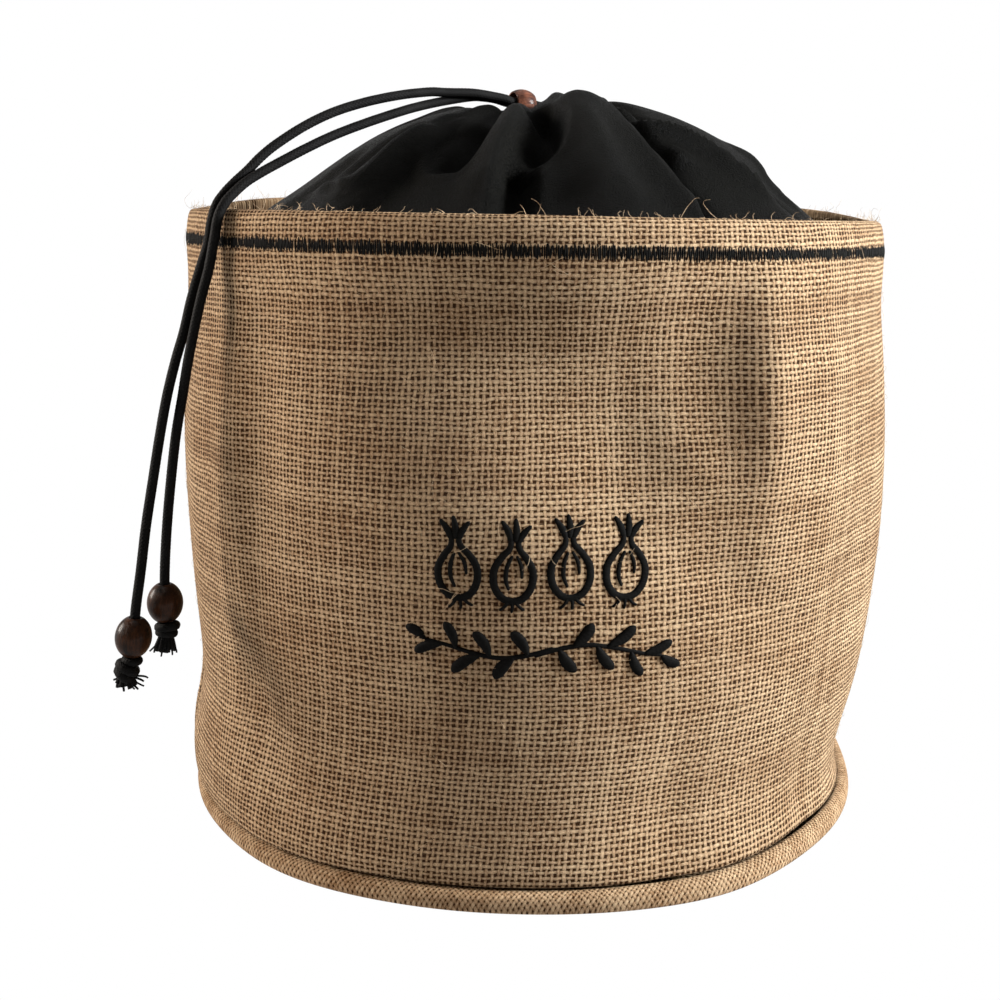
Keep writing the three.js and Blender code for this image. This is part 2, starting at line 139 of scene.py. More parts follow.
def shaped_grid(name, columns, rows, place):
    """A grid whose point at u, v, each from 0 to 1, is moved to place(u, v)."""
    deselect_all()
    bpy.ops.mesh.primitive_grid_add(x_subdivisions=columns, y_subdivisions=rows, size=2)
    piece = bpy.context.object
    piece.name = name
    for vertex in piece.data.vertices:
        vertex.co = place((vertex.co.x + 1) / 2, (vertex.co.y + 1) / 2)
    return piece


def report(piece):
    piece.data.calc_loop_triangles()
    print(f"{piece.name}: {len(piece.data.loop_triangles)} triangles")
    return piece


# %% A smooth path through listed points
class Path:
    """A Catmull-Rom curve through points, read by its length."""

    def __init__(self, points, fine=24):
        ends = [points[0] * 2 - points[1]] + list(points) + [points[-1] * 2 - points[-2]]
        self.points = []
        for a, b, c, d in zip(ends, ends[1:], ends[2:], ends[3:]):
            for i in range(fine):
                t = i / fine
                self.points.append(0.5 * (2 * b + (c - a) * t
                                          + (2 * a - 5 * b + 4 * c - d) * t ** 2
                                          + (3 * b - a - 3 * c + d) * t ** 3))
        self.points.append(points[-1].copy())
        self.reach = [0.0]
        for a, b in zip(self.points, self.points[1:]):
            self.reach.append(self.reach[-1] + (b - a).length)
        self.length = self.reach[-1]

    def at(self, share):
        """The point and the direction at a share of the length."""
        target = min(max(share, 0), 1) * self.length
        low, high = 0, len(self.reach) - 1
        while high - low > 1:
            middle = (low + high) // 2
            low, high = (middle, high) if self.reach[middle] <= target else (low, middle)
        step = self.points[high] - self.points[low]
        part = (target - self.reach[low]) / (self.reach[high] - self.reach[low])
        return self.points[low] + step * part, step.normalized()


# %% [markdown]
# ## The cords
# Two tails of one black braided cord leave the toggle bead, arch over the gathered top and hang
# beside the bag. A curve with a round bevel would be smooth, and a real braid isn't: sixteen fine
# strands pass over and under each other. So each cord is a rolled grid, and its radius rises along
# two sets of opposite helices.

# %% Routes of the two tails, in millimetres with heights above the rim
rim_height = 205
long_tail_route = [
    (7.4, -4.4, 28.5), (6.6, -7.8, 33.6), (3.8, -10.6, 37.4), (0.2, -11.6, 38.8),
    (-4.1, -13.5, 39.1), (-8.4, -16.0, 39.8), (-10.6, -17.3, 40.6), (-14.4, -19.4, 41.3),
    (-18.4, -22.4, 41.8), (-22.6, -25.2, 42.1), (-30.9, -29.8, 41.9), (-36.1, -33.6, 41.8),
    (-45.7, -40.6, 40.2), (-56.4, -47.6, 37.4), (-66.2, -54.1, 33.7), (-74.8, -60.0, 28.9),
    (-82.7, -65.0, 23.2), (-87.4, -68.0, 19.0), (-91.7, -71.0, 14.1), (-95.1, -73.3, 10.6),
    (-98.0, -75.5, 7.1), (-100.2, -77.1, 3.5), (-101.7, -77.9, -1.6), (-103.1, -78.0, -8.8),
    (-106.1, -78.2, -17.9), (-108.8, -78.4, -26.7), (-111.1, -79.0, -36.2),
    (-113.8, -80.4, -45.8), (-116.3, -82.0, -56.5), (-118.4, -83.8, -68.6),
    (-120.5, -85.8, -82.6), (-122.5, -88.0, -96.7), (-124.1, -89.8, -110.7),
    (-125.7, -91.0, -122.5), (-126.5, -91.6, -131.0), (-127.2, -91.9, -137.8),
]
short_tail_route = [
    (4.2, -1.4, 27.6), (4.0, -3.6, 31.8), (2.0, -6.4, 36.2), (-1.6, -8.0, 38.3),
    (-5.9, -10.5, 38.9), (-10.2, -13.1, 39.6), (-14.4, -15.7, 40.7), (-18.5, -18.7, 41.1),
    (-22.6, -21.6, 41.0), (-31.0, -27.2, 39.3), (-38.9, -33.0, 37.2), (-45.7, -40.4, 34.7),
    (-56.3, -48.3, 30.5), (-66.0, -55.8, 26.1), (-74.5, -62.5, 21.4), (-82.3, -68.0, 16.7),
    (-86.9, -71.3, 13.8), (-91.1, -74.5, 10.8), (-94.3, -77.1, 7.6), (-96.9, -79.3, 4.3),
    (-98.9, -80.9, -0.3), (-100.2, -81.6, -7.2), (-102.1, -81.6, -16.2), (-104.8, -81.8, -25.8),
    (-107.3, -81.8, -35.9), (-109.5, -81.6, -45.7), (-111.6, -81.3, -56.6),
    (-114.1, -81.0, -69.1), (-116.2, -80.6, -83.5), (-118.0, -80.2, -98.3),
    (-119.2, -80.0, -112.5), (-119.5, -80.0, -122.8), (-119.4, -80.0, -130.2),
]
cord_radius = 1.6 * MM


def in_metres(route):
    return Path([Vector((x, y, rim_height + z)) * MM for x, y, z in route])


long_path = in_metres(long_tail_route)
short_path = in_metres(short_tail_route)
print(f"long tail {long_path.length:.4f} m, short tail {short_path.length:.4f} m")


# %% Braided tubes
def frames_along(path, steps):
    """Points on a path, each with two directions square to it that don't twist."""
    side = None
    rows = []
    for i in range(steps + 1):
        point, ahead = path.at(i / steps)
        if side is None:
            side = ahead.orthogonal()
        side = (side - ahead * side.dot(ahead)).normalized()
        rows.append((point, side, ahead.cross(side)))
    return rows


def braided_tube(name, path, radius, strand_pairs=8, relief=0.085, ring_gap=0.26 * MM, sides=40):
    """A closed tube whose surface rises where the strands of a braid pass."""
    steps = round(path.length / ring_gap)
    rows = frames_along(path, steps)
    turns_per_metre = strand_pairs / (2 * math.pi * radius)

    def place(u, v):
        point, side, up = rows[round(v * steps)]
        turn = 2 * math.pi * u
        climb = 2 * math.pi * turns_per_metre * v * path.length
        strand = max(math.cos(strand_pairs * turn + climb), math.cos(strand_pairs * turn - climb))
        size = radius * (1 - relief + relief * strand)
        return point + (side * math.cos(turn) + up * math.sin(turn)) * size

    return report(fill_ends(tidy_mesh(shaped_grid(name, sides, steps, place))))


long_cord = braided_tube("braided_tail_long", long_path, cord_radius)
short_cord = braided_tube("braided_tail_short", short_path, cord_radius)

# %% [markdown]
# ## Shader maths as plain expressions
# A weave is arithmetic: which thread a point is on, how far it is from the thread's middle and
# which thread lies on top. Written as nodes one by one that would be unreadable, so a small class
# stands for a socket and lets Python's own operators add the Math nodes.

# %% Sockets that can be added and multiplied
def math_node(operation):
    """A method that adds one Math node."""
    return lambda self, *others: self.maths(operation, *others)


class Socket:
    """An output of a node. Operators on it add Math nodes, with their reflected forms."""

    def __init__(self, graph, socket):
        self.graph = graph
        self.socket = socket

    def maths(self, operation, *others):
        values = dict(enumerate([self, *others]))
        return self.graph.add("Math", {"operation": operation}, values)

    def __rsub__(self, other):
        return self.graph.add("Math", {"operation": "SUBTRACT"}, {0: other, 1: self})

    def root(self):
        return self.most(0.0).maths("SQRT")

    __add__ = __radd__ = math_node("ADD")
    __mul__ = __rmul__ = math_node("MULTIPLY")
    __sub__ = math_node("SUBTRACT")
    __truediv__ = math_node("DIVIDE")
    __gt__ = math_node("GREATER_THAN")
    floor, fraction, cosine = math_node("FLOOR"), math_node("FRACT"), math_node("COSINE")
    most, least = math_node("MAXIMUM"), math_node("MINIMUM")


class Graph:
    """The nodes of one material, ending in a Principled shader."""

    def __init__(self, name, **constants):
        self.material = bpy.data.materials.new(name)
        self.material.use_nodes = True
        self.tree = self.material.node_tree
        self.shader = self.tree.nodes["Principled BSDF"]
        for key, value in constants.items():
            self.shader.inputs[key.replace("_", " ")].default_value = value

    def add(self, kind, settings=None, values=None, out=0):
        node = self.tree.nodes.new("ShaderNode" + kind)
        for key, value in (settings or {}).items():
            if key == "stops":
                ramp = node.color_ramp.elements
                while len(ramp) < len(value):
                    ramp.new(1)
                for stop, (position, colour) in zip(ramp, value):
                    stop.position = position
                    stop.color = (*colour, 1)
            else:
                setattr(node, key, value)
        for key, value in (values or {}).items():
            if isinstance(value, Socket):
                self.tree.links.new(value.socket, node.inputs[key])
            else:
                node.inputs[key].default_value = value
        return Socket(self, node.outputs[out])

    def point(self, x, y, z=0.0):
        return self.add("CombineXYZ", None, {0: x, 1: y, 2: z})

    def split(self, vector):
        return [self.add("SeparateXYZ", None, {0: vector}, out=i) for i in range(3)]

    def uv(self, name):
        return self.split(self.add("UVMap", {"uv_map": name}))[:2]

    def place(self):
        return self.add("TexCoord", None, None, out=3)

    def noise(self, vector, scale=1.0, detail=2.0, rough=0.5):
        values = {"Vector": vector, "Scale": scale, "Detail": detail, "Roughness": rough}
        return self.add("TexNoise", None, values)

    def chance(self, number):
        return self.add("TexWhiteNoise", {"noise_dimensions": "1D"}, {"W": number})

    def mix(self, factor, first, second):
        return self.add("Mix", {"data_type": "RGBA"}, {0: factor, 6: first, 7: second}, out=2)

    def ramp(self, factor, *stops):
        return self.add("ValToRGB", {"stops": stops}, {0: factor})

    def ease(self, value, low, high):
        """Nought below low, one above high, smooth between."""
        return self.add("MapRange", {"interpolation_type": "SMOOTHSTEP"},
                        {0: value, 1: low, 2: high})

    def feed(self, name, value):
        self.tree.links.new(value.socket, self.shader.inputs[name])

    def bump(self, height, distance):
        self.feed("Normal", self.add("Bump", None, {"Height": height, "Distance": distance,
                                                    "Strength": 1.0}))


def wear(piece, material):
    piece.data.materials.clear()
    piece.data.materials.append(material)


def dress(piece, material, slot, *nodes):
    """Gives a piece its material, hides the CAD nodes that it stands for and hangs it under the
    root body. The slot argument is not used.
    """
    wear(piece, material)
    if nodes:
        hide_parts(*nodes)
    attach(piece, "root")
    return report(piece)


# %% [markdown]
# ## Hessian
# Hessian is a plain weave of coarse jute. Each upright warp thread and each level weft thread goes
# over one thread and under the next. The threads are uneven, with thick soft places, and square
# holes show dark between them. Modelling every crossing would take millions of faces, so the weave
# is a pattern on the cloth's own UV map, in threads round and threads up, and its height feeds a
# bump.
# The weave's height also paints light and shade into the colour: painted shade in the holes and on
# the low parts of the threads, and a painted highlight on the crests.

# %% A plain weave
jute_pale = (0.80, 0.590, 0.372, 1)
jute_deep = (0.220, 0.112, 0.048, 1)
# Painted shade: the dark inside of the bag seen through the holes of the weave, also mixed into the
# low parts of the threads.
painted_shade_colour = (0.032, 0.0115, 0.0026, 1)
crossing_rise = 0.26
hole_floor = -0.75


def hessian(name, across, along, warp_width=0.55, weft_width=0.57, wander=1.25, relief=1.0,
            level=0.0):
    """A weave material. across and along say how many threads one unit of the UV map holds,
    widths are shares of a thread's place, and level makes the whole cloth lighter or darker."""
    graph = Graph(name, Roughness=0.85, Specular_IOR_Level=0.08)

    def drift(x, y, layer, reach):
        return (graph.noise(graph.point(x, y, layer)) - 0.5) * (reach * wander)

    u, v = graph.uv("weave")
    u, v = u * across, v * along
    broad = graph.noise(graph.point(u * 0.05, v * 0.08), 1, 3)
    u = u + drift(u * 0.12, v * 0.05, 3.1, 0.9) + drift(u.floor() * 3.7, v * 0.40, 5.0, 0.50)
    v = v + drift(u * 0.04, v * 0.12, 8.3, 1.0) + drift(u * 0.40, v.floor() * 3.3, 1.7, 0.55)
    warp, weft = u.floor(), v.floor()
    warp_luck, weft_luck = graph.chance(warp), graph.chance(weft + 0.37)
    slub_up = graph.noise(graph.point(warp * 5.3, v * 0.22, 2.0), 1, 2)
    slub_over = graph.noise(graph.point(u * 0.20, weft * 5.1, 6.0), 1, 2)
    stray = (graph.noise(graph.point(u * 4.5, v * 4.5, 12.0), 1, 3, 0.75) - 0.5) * 0.22
    side = 1 - 2 * ((warp + weft) * 0.5).fraction() * 2

    def half_width(width, luck, slub, swell):
        return (width - 0.08 + luck * 0.16 + (slub - 0.5) * swell) * 0.5 + stray

    def thread_top(off, half, run, rise, roundness):
        """The height of a thread at a place off its middle, and a deep drop beside the thread."""
        bulge = (1 - (off / half).maths("POWER", 2.0)).root()
        return (side * (run * math.pi).cosine() * rise + bulge * roundness
                - (1 - (bulge > 0.02)) * 3)

    beside, above = u.fraction() - 0.5, v.fraction() - 0.5
    warp_top = thread_top(beside, half_width(warp_width, warp_luck, slub_up, 0.55), above,
                          crossing_rise, 0.55)
    weft_top = thread_top(above, half_width(weft_width, weft_luck, slub_over, 0.65), beside,
                          -crossing_rise, 0.60)
    top = warp_top.most(weft_top).most(hole_floor)
    on_weft = weft_top > warp_top
    fibre_up = graph.noise(graph.point(u * 8.0, v * 2.0, 4.0), 1, 4, 0.8)
    fibre_over = graph.noise(graph.point(u * 2.0, v * 8.0, 9.0), 1, 4, 0.8)
    fibre = graph.ease(fibre_up + (fibre_over - fibre_up) * on_weft, 0.25, 0.75)
    luck = warp_luck + (weft_luck - warp_luck) * on_weft
    # Painted highlight: the top and on_weft terms make the crests and the weft floats lighter. The
    # fibre, luck and broad terms are the jute's own uneven colour.
    tone = fibre * 0.84 + luck * 0.22 + broad * 0.55 - 0.80 + on_weft * 0.08 + top * 0.50 + level
    thread = graph.mix(tone.least(1.0).most(0.0), jute_deep, jute_pale)
    # Painted shade: the lower a thread lies in the weave, the further its colour goes towards the
    # dark of the holes.
    shade = 1 - graph.ease(top, -0.18, 0.76)
    thread = graph.mix(shade * 0.90, thread, painted_shade_colour)
    # Painted shade in the open holes, where the inside of the bag shows.
    open_hole = 1 - graph.ease(top, hole_floor + 0.01, -0.30)
    graph.feed("Base Color", graph.mix(open_hole, thread, painted_shade_colour))
    graph.bump(top + fibre * 0.40, 0.75 * MM * relief)
    return graph.material


threads_round = 428
pick_height = 1.65 * MM
hessian_cloth = hessian("hessian", threads_round, 1 / pick_height)
print("hessian has", len(hessian_cloth.node_tree.nodes), "nodes")

# %% [markdown]
# ## The wall
# The wall's solid already has the right form, with its main dents, but in flat facets. A copy of
# it is welded, turned into quads and subdivided, which rounds it off. Later it gets a UV map of its
# own: u runs once round the bag and v up the outside, over the hem's fold and down the inside.

# %% A rounded copy of a solid
def rounded_copy(node, name, levels):
    deselect_all()
    piece = bpy.data.objects.new(name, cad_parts[node].data.copy())
    bpy.context.collection.objects.link(piece)
    with editing(piece):
        bpy.ops.mesh.remove_doubles(threshold=1e-5)
        bpy.ops.mesh.tris_convert_to_quads(face_threshold=math.pi, shape_threshold=math.pi)
    if levels:
        modify(piece, "SUBSURF", levels=levels, render_levels=levels)
    bpy.ops.object.shade_smooth()
    return piece


def weave_map(mesh):
    """A new UV map in the place of all others."""
    for layer in list(mesh.uv_layers):
        mesh.uv_layers.remove(layer)
    return mesh.uv_layers.new(name="weave").data


seam_angle = -80


def angle_round(x, y):
    """Degrees round the bag from its side seam, which hides the start of the pattern."""
    return (math.degrees(math.atan2(x, -y)) - seam_angle) % 360


def ring_uv(piece, run_of, centre_of):
    """Lays the UV map: u is the share of the turn, v the run of the cloth in metres."""
    mesh = piece.data
    weave = weave_map(mesh)
    for face in mesh.polygons:
        cx, cy = centre_of(face.center.z)
        middle = angle_round(face.center.x - cx, face.center.y - cy)
        for loop in face.loop_indices:
            vertex = mesh.vertices[mesh.loops[loop].vertex_index]
            cx, cy = centre_of(vertex.co.z)
            angle = angle_round(vertex.co.x - cx, vertex.co.y - cy)
            angle += 360 * round((middle - angle) / 360)
            weave[loop].uv = (angle / 360, run_of(vertex))


# %% The hessian wall
fold_start = 203.1 * MM
fold_radius = 1.9 * MM
foot_shift = Vector((-6, -4.5)) * MM
foot_height = 60 * MM


def tub_centre(z):
    part = max(0.0, 1 - z / foot_height)
    return foot_shift * part


def wall_run(vertex):
    """The run of the cloth up the outside, over the fold and down the inside, in metres."""
    out = Vector((vertex.co.x, vertex.co.y)).normalized()
    facing = vertex.normal.x * out.x + vertex.normal.y * out.y
    z = vertex.co.z
    if facing < -0.4:  # the inner face
        return fold_start + math.pi * fold_radius + max(0.0, fold_start - z)
    if z - fold_start < -3 * MM or vertex.normal.z < 0.1:  # the outer face
        return z
    return z + fold_radius * math.atan2(vertex.normal.z, max(facing, 0.05))


wall = rounded_copy("jute_wall", "hessian_wall", 2)

# %% [markdown]
# Rounding a copy also softens its dents, and the solid has only some of them. A table of bell
# shapes gives them their edges and adds the rest. The copy's points move in or out by it, the
# inner face with the outer one. The broadest dent is high on the front: the cloth sinks in below
# the rim, and turns out again over a sharp edge on the right.

# %% Dents and their edges
dent_end = 4 * MM
dent_fade = 14 * MM
# Angle, height as a share, drift, widths left and right, lengths up and down, depth in mm.
wall_dents = [
    (3, 0.77, -60, 21, 17, 0.12, 0.20, 4.5), (3, 0.68, -60, 21, 17, 0.14, 0.24, 4.2),
    (15, 0.73, 0, 11, 13, 0.14, 0.20, 3.6),
    (31, 0.73, 0, 5.5, 5.5, 0.15, 0.15, -6.0), (40, 0.70, 0, 4.5, 4.5, 0.17, 0.17, 2.4),
    (34.5, 0.75, 0, 4.6, 14.0, 0.21, 0.21, -6.2),
    (22, 0.82, 0, 11, 8, 0.09, 0.10, 2.4),
    (24, 0.64, -60, 4.5, 4.5, 0.07, 0.07, -1.2), (30, 0.45, -120, 4.5, 4.5, 0.07, 0.07, 1.5),
    (-50, 0.64, 6, 5.5, 5.0, 0.30, 0.30, -3.7), (-42, 0.64, 6, 4.0, 7.0, 0.32, 0.32, 1.4),
    (-46, 0.25, -50, 5, 5, 0.11, 0.11, 1.6), (55, 0.42, 20, 8, 8, 0.20, 0.20, 1.6),
    (20, 0.10, 10, 5, 5, 0.10, 0.10, 1.2), (47, 0.12, 0, 5, 5, 0.09, 0.09, 1.6),
    (118, 0.60, 12, 5, 5, 0.20, 0.20, 1.8), (150, 0.36, -30, 6, 6, 0.15, 0.15, 1.8),
    (219, 0.50, 18, 5, 5, 0.22, 0.22, 2.0),
]


def bell(x):
    return math.exp(-x * x)


def dent_depth(angle, share):
    """How far the wall is pressed in, in metres, at an angle and a share of its height."""
    depth = 0.0
    for middle, height, drift, left, right, above, below, millimetres in wall_dents:
        up = share - height
        side = (angle - middle - drift * up + 180) % 360 - 180
        depth += (millimetres * MM * bell(side / (left if side < 0 else right))
                  * bell(up / (above if up > 0 else below)))
    return depth


for vertex in wall.data.vertices:
    x, y, z = vertex.co
    angle = math.degrees(math.atan2(x, -y))
    below_rim = min(max((rim_height * MM - dent_end - z) / dent_fade, 0), 1)
    out = Vector((x, y, 0)).normalized()
    vertex.co -= out * dent_depth(angle, z / (rim_height * MM)) * below_rim
ring_uv(wall, wall_run, tub_centre)
dress(wall, hessian_cloth, "jute", "jute_wall")

# %% [markdown]
# ## The base and its welt
# A strip of hessian cut on the bias is rolled over the seam between wall and base, so its weave
# lies at a slant. The base is a plain disc of the same cloth. Both are rounded copies, and the
# welt's UV map turns the pattern by letting v grow with the turn.

# %% Welt and base
welt = rounded_copy("base_welt", "bias_welt", 2)
base_centre = Vector((-3, -5.5)) * MM
around = 2 * math.pi * 123 * MM
bias = 0.7071  # the sine and the cosine of 45 degrees
bias_threads = 1.45


def welt_run(vertex):
    """A length that grows up and over the roll. Only its growth counts."""
    inward = (base_centre - Vector((vertex.co.x, vertex.co.y))).length
    return vertex.co.z * 0.6 - inward * 0.8 + 0.3


ring_uv(welt, welt_run, lambda z: base_centre)
for loop in welt.data.uv_layers["weave"].data:
    across, along = loop.uv.x * around, loop.uv.y
    loop.uv = ((across + along) * bias / around, (along - across) * bias)
welt_cloth = hessian("hessian_bias", threads_round * bias_threads, bias_threads / pick_height,
                     0.72, 0.72, 1.1, relief=0.8, level=-0.08)
dress(welt, welt_cloth, "jute", "base_welt")

base = rounded_copy("base_disc", "hessian_base", 0)
flat_map = weave_map(base.data)
for loop in base.data.loops:
    spot = base.data.vertices[loop.vertex_index].co
    flat_map[loop.index].uv = (spot.x / around, spot.y)
dress(base, hessian_cloth, "jute", "base_disc")

# %% [markdown]
# ## The gathered top
# The cotton is one ring of cloth, sewn inside the rim and drawn together in the middle. Its folds
# run from the mouth to the rim, deep and narrow near the mouth, broad and soft lower down. A cloth
# simulation would make folds of its own, at other places than the real ones, so each fold is a row
# of a table: where it starts and ends, how far it stands out and how wide each flank is.

# %% The tables of the drawn top
crown_rise = 43
rim_radius = 125
rim_slope = 4.8
# Reach as a share of the rim's radius, rise as a share of the crown's, and how flat it is sewn.
closure_sections = [
    (0.972, -0.290, 1.0), (0.962, -0.235, 1.0), (0.900, -0.190, 0.5), (0.820, -0.070, 0.2),
    (0.750, 0.080, 0.1), (0.680, 0.230, 0.0), (0.600, 0.400, 0.0), (0.510, 0.575, 0.0),
    (0.420, 0.705, 0.0), (0.335, 0.795, 0.0), (0.260, 0.855, 0.0), (0.205, 0.860, 0.0),
    (0.158, 0.790, 0.0), (0.124, 0.620, 0.0), (0.126, 0.480, 0.0),
]
rim_lifts = [(0, 0.009), (60, 0.005), (88, 0.002), (120, 0.036), (180, 0.048)]
fold_columns = "mouth rim bow lift left right inner outer".split()
closure_folds = [
    (-42, -46, 0, 0.030, 32, 8, 0.36, 0.86), (-31, -34, 0, -0.085, 7, 12, 0.46, 0.86),
    (-18, -21, 0, -0.090, 13, 8, 0.26, 0.60), (-6, -11, 0, 0.055, 9, 5, 0.30, 0.92),
    (15, 17, 0, 0.120, 15, 12, 0.20, 0.90), (25, 30, 0, 0.055, 10, 4, 0.25, 0.96),
    (31, 35, 0, -0.075, 4, 9, 0.30, 0.90), (30, 55, 7, 0.085, 13, 5, 0.34, 0.94),
    (28, 46, 2, 0.030, 4, 4, 0.36, 0.58), (48, 60, 0, -0.130, 8, 10, 0.27, 0.46),
    (44, 60, 6, -0.070, 5, 8, 0.52, 0.90), (78, 74, 0, 0.080, 27, 18, 0.20, 0.61),
    (92, 70, 0, 0.030, 9, 4, 0.60, 0.94), (-60, -56, 0, -0.045, 6, 6, 0.60, 0.84),
]
closure_fade = 0.08
mouth_reach, fold_run = 0.2, 0.772
back_folds = 9
back_pitch = 19.5
for i in range(back_folds):
    middle = 104 + back_pitch * i
    turn = 3 * math.sin(2.4 * i)
    closure_folds.append((middle, middle + turn, 0, 0.050, 10, 6, 0.24, 0.80))
    valley = middle + back_pitch / 2
    closure_folds.append((valley, valley + turn, 0, -0.050, 10, 10, 0.24, 0.80))
closure_folds = [dict(zip(fold_columns, row)) for row in closure_folds]


# %% The drawn top's surface
def smooth(x):
    t = min(max(x, 0.0), 1.0)
    return t * t * (3 - 2 * t)


def turn_between(start, end):
    return (end - start + 180) % 360 - 180


def curve_through(rows, key, column):
    """A smooth curve through one column of rows whose first column is the key."""
    i = 0
    while i < len(rows) - 2 and key > rows[i + 1][0]:
        i += 1
    a, b = rows[i], rows[i + 1]
    before, after = rows[max(i - 1, 0)], rows[min(i + 2, len(rows) - 1)]
    span = b[0] - a[0]
    t = min(max((key - a[0]) / span, 0), 1)
    slope_a = (b[column] - before[column]) / (b[0] - before[0]) * span
    slope_b = (after[column] - a[column]) / (after[0] - a[0]) * span
    return (a[column] * (2 * t ** 3 - 3 * t ** 2 + 1) + slope_a * (t ** 3 - 2 * t ** 2 + t)
            + b[column] * (3 * t ** 2 - 2 * t ** 3) + slope_b * (t ** 3 - t ** 2))


def rim_rise(angle):
    return (-rim_slope / 2 * math.sin(math.radians(angle))
            + rim_radius * curve_through(rim_lifts, abs(turn_between(0, angle)), 1))


def fold_lift(angle, reach):
    """How far the folds lift the cloth, as a share of the crown's rise."""
    along = min(max((reach - mouth_reach) / fold_run, 0), 1)
    lift = 0.0
    for fold in closure_folds:
        line = fold["mouth"] + (fold["rim"] - fold["mouth"]) * along
        line += fold["bow"] * math.sin(math.pi * along)
        turn = turn_between(line, angle)
        width = fold["left"] if turn < 0 else fold["right"]
        if abs(turn) >= width:
            continue
        inside = (smooth((reach - fold["inner"]) / closure_fade + 1)
                  * smooth((fold["outer"] - reach) / closure_fade + 1))
        flank = (1 + math.cos(math.pi * abs(turn) / width)) / 2
        lift += fold["lift"] * inside * flank
    return lift


# %% [markdown]
# Creases are finer than folds, and they bend. Each one has a line of its own on the cloth, given
# as angles and reaches. It lifts the cloth beside that line by some millimetres, or sinks
# it, and fades over one width on its left and another on its right. A narrow side is a steep one.

# %% Creases
class Crease:
    def __init__(self, lift, left, right, keen, line):
        self.lift, self.left, self.right, self.keen = lift, left, right, keen
        turns = [(math.radians(angle), reach * rim_radius) for angle, reach in line]
        self.line = Path([Vector((r * math.sin(a), -r * math.cos(a))) for a, r in turns], 2).points
        wide = max(left, right)
        self.low = [min(point[k] for point in self.line) - wide for k in (0, 1)]
        self.high = [max(point[k] for point in self.line) + wide for k in (0, 1)]

    def at(self, spot):
        """How far the cloth is lifted at a spot of the plan, in millimetres."""
        if not all(self.low[k] < spot[k] < self.high[k] for k in (0, 1)):
            return 0.0
        nearest, side, share = math.inf, 0, 0
        for i, (a, b) in enumerate(zip(self.line, self.line[1:])):
            run = b - a
            part = min(max((spot - a).dot(run) / run.length_squared, 0), 1)
            gap = spot - (a + run * part)
            if gap.length < nearest:
                nearest, side = gap.length, run.cross(gap)
                share = (i + part) / (len(self.line) - 1)
        width = self.right if side > 0 else self.left
        if nearest >= width:
            return 0.0
        near = 1 - nearest / width
        shape = smooth(near) * (1 - self.keen) + near * near * self.keen
        return self.lift * shape * smooth(share / 0.2) * smooth((1 - share) / 0.2)


# Lift in mm, widths left and right in mm, keenness, and the line as angles and reaches.
creases = [Crease(*row) for row in [
    (5.0, 13, 8, 0.0, [(-3, 0.36), (-5, 0.42), (-6, 0.48), (-8, 0.55), (-9, 0.62), (-9, 0.70),
        (-9, 0.80)]),
    (-6.5, 11, 4, 0.2, [(-15, 0.36), (-17, 0.43), (-19, 0.49), (-21, 0.55), (-23, 0.59),
        (-27, 0.61)]),
    (1.6, 5, 4, 0.3, [(-38, 0.45), (-34, 0.54), (-29, 0.61), (-23, 0.645), (-17, 0.62),
        (-14, 0.55)]),
    (-8.5, 10, 3, 0.1, [(4, 0.30), (5, 0.38), (6, 0.45), (5, 0.53), (2, 0.585), (-3, 0.62)]),
    (3.0, 2.5, 14, 0.0, [(9, 0.30), (11, 0.38), (11, 0.46), (9, 0.54), (6, 0.60), (0, 0.655),
        (-4, 0.66)]),
    (-6.0, 2.5, 13, 0.0, [(-5, 0.63), (-6, 0.69), (-6, 0.76), (-5, 0.86)]),
    (2.5, 15, 15, 0.0, [(24, 0.28), (18, 0.45), (15, 0.58), (14, 0.68), (14, 0.80)]),
    (3.4, 12, 2.4, 0.2, [(24, 0.33), (26, 0.40), (28, 0.52), (29, 0.655), (30, 0.76),
        (31, 0.84)]),
    (-3.4, 2.4, 7, 0.3, [(28, 0.33), (29, 0.40), (32, 0.52), (33, 0.65), (34, 0.75), (35, 0.82)]),
    (2.4, 3, 6, 0.3, [(28, 0.31), (29, 0.40), (30, 0.47), (34, 0.535), (39, 0.585), (44, 0.64)]),
    (3.6, 7, 2.6, 0.3, [(31, 0.30), (32, 0.38), (35, 0.447), (42, 0.492), (48, 0.546), (51, 0.60),
        (52, 0.667), (54, 0.72), (55, 0.78)]),
    (-3.2, 5, 4, 0.2, [(33, 0.30), (36, 0.37), (42, 0.41), (48, 0.45), (55, 0.50)]),
    (1.3, 6, 2.5, 0.4, [(66, 0.54), (64, 0.60), (61, 0.66), (58, 0.70), (57, 0.76)]),
    (1.2, 5, 2.5, 0.4, [(80, 0.50), (78, 0.60), (76, 0.68), (72, 0.73), (71, 0.80)]),
    (2.6, 10, 5, 0.1, [(-38, 0.42), (-39, 0.48), (-41, 0.56), (-41, 0.63), (-42, 0.68),
        (-44, 0.76)]),
    (-2.6, 7, 5, 0.1, [(-44, 0.42), (-46, 0.47), (-47, 0.54), (-47, 0.61), (-48, 0.68)]),
    (1.4, 4, 3, 0.3, [(-60, 0.72), (-54, 0.70), (-48, 0.69), (-42, 0.70)]),
]]


def crease_lift(x, y):
    spot = Vector((x, y))
    return sum(crease.at(spot) for crease in creases)


def pleat_lift(angle, reach):
    """Small even gathers close round the mouth, in millimetres."""
    wave = math.sin(math.radians(18 * angle)) + 0.7 * math.sin(math.radians(29 * angle + 40))
    return 0.62 * wave * smooth((reach - 0.13) / 0.05) * smooth((0.37 - reach) / 0.10)


# %% The drawn top
section_rows = [(i, *row) for i, row in enumerate(closure_sections)]


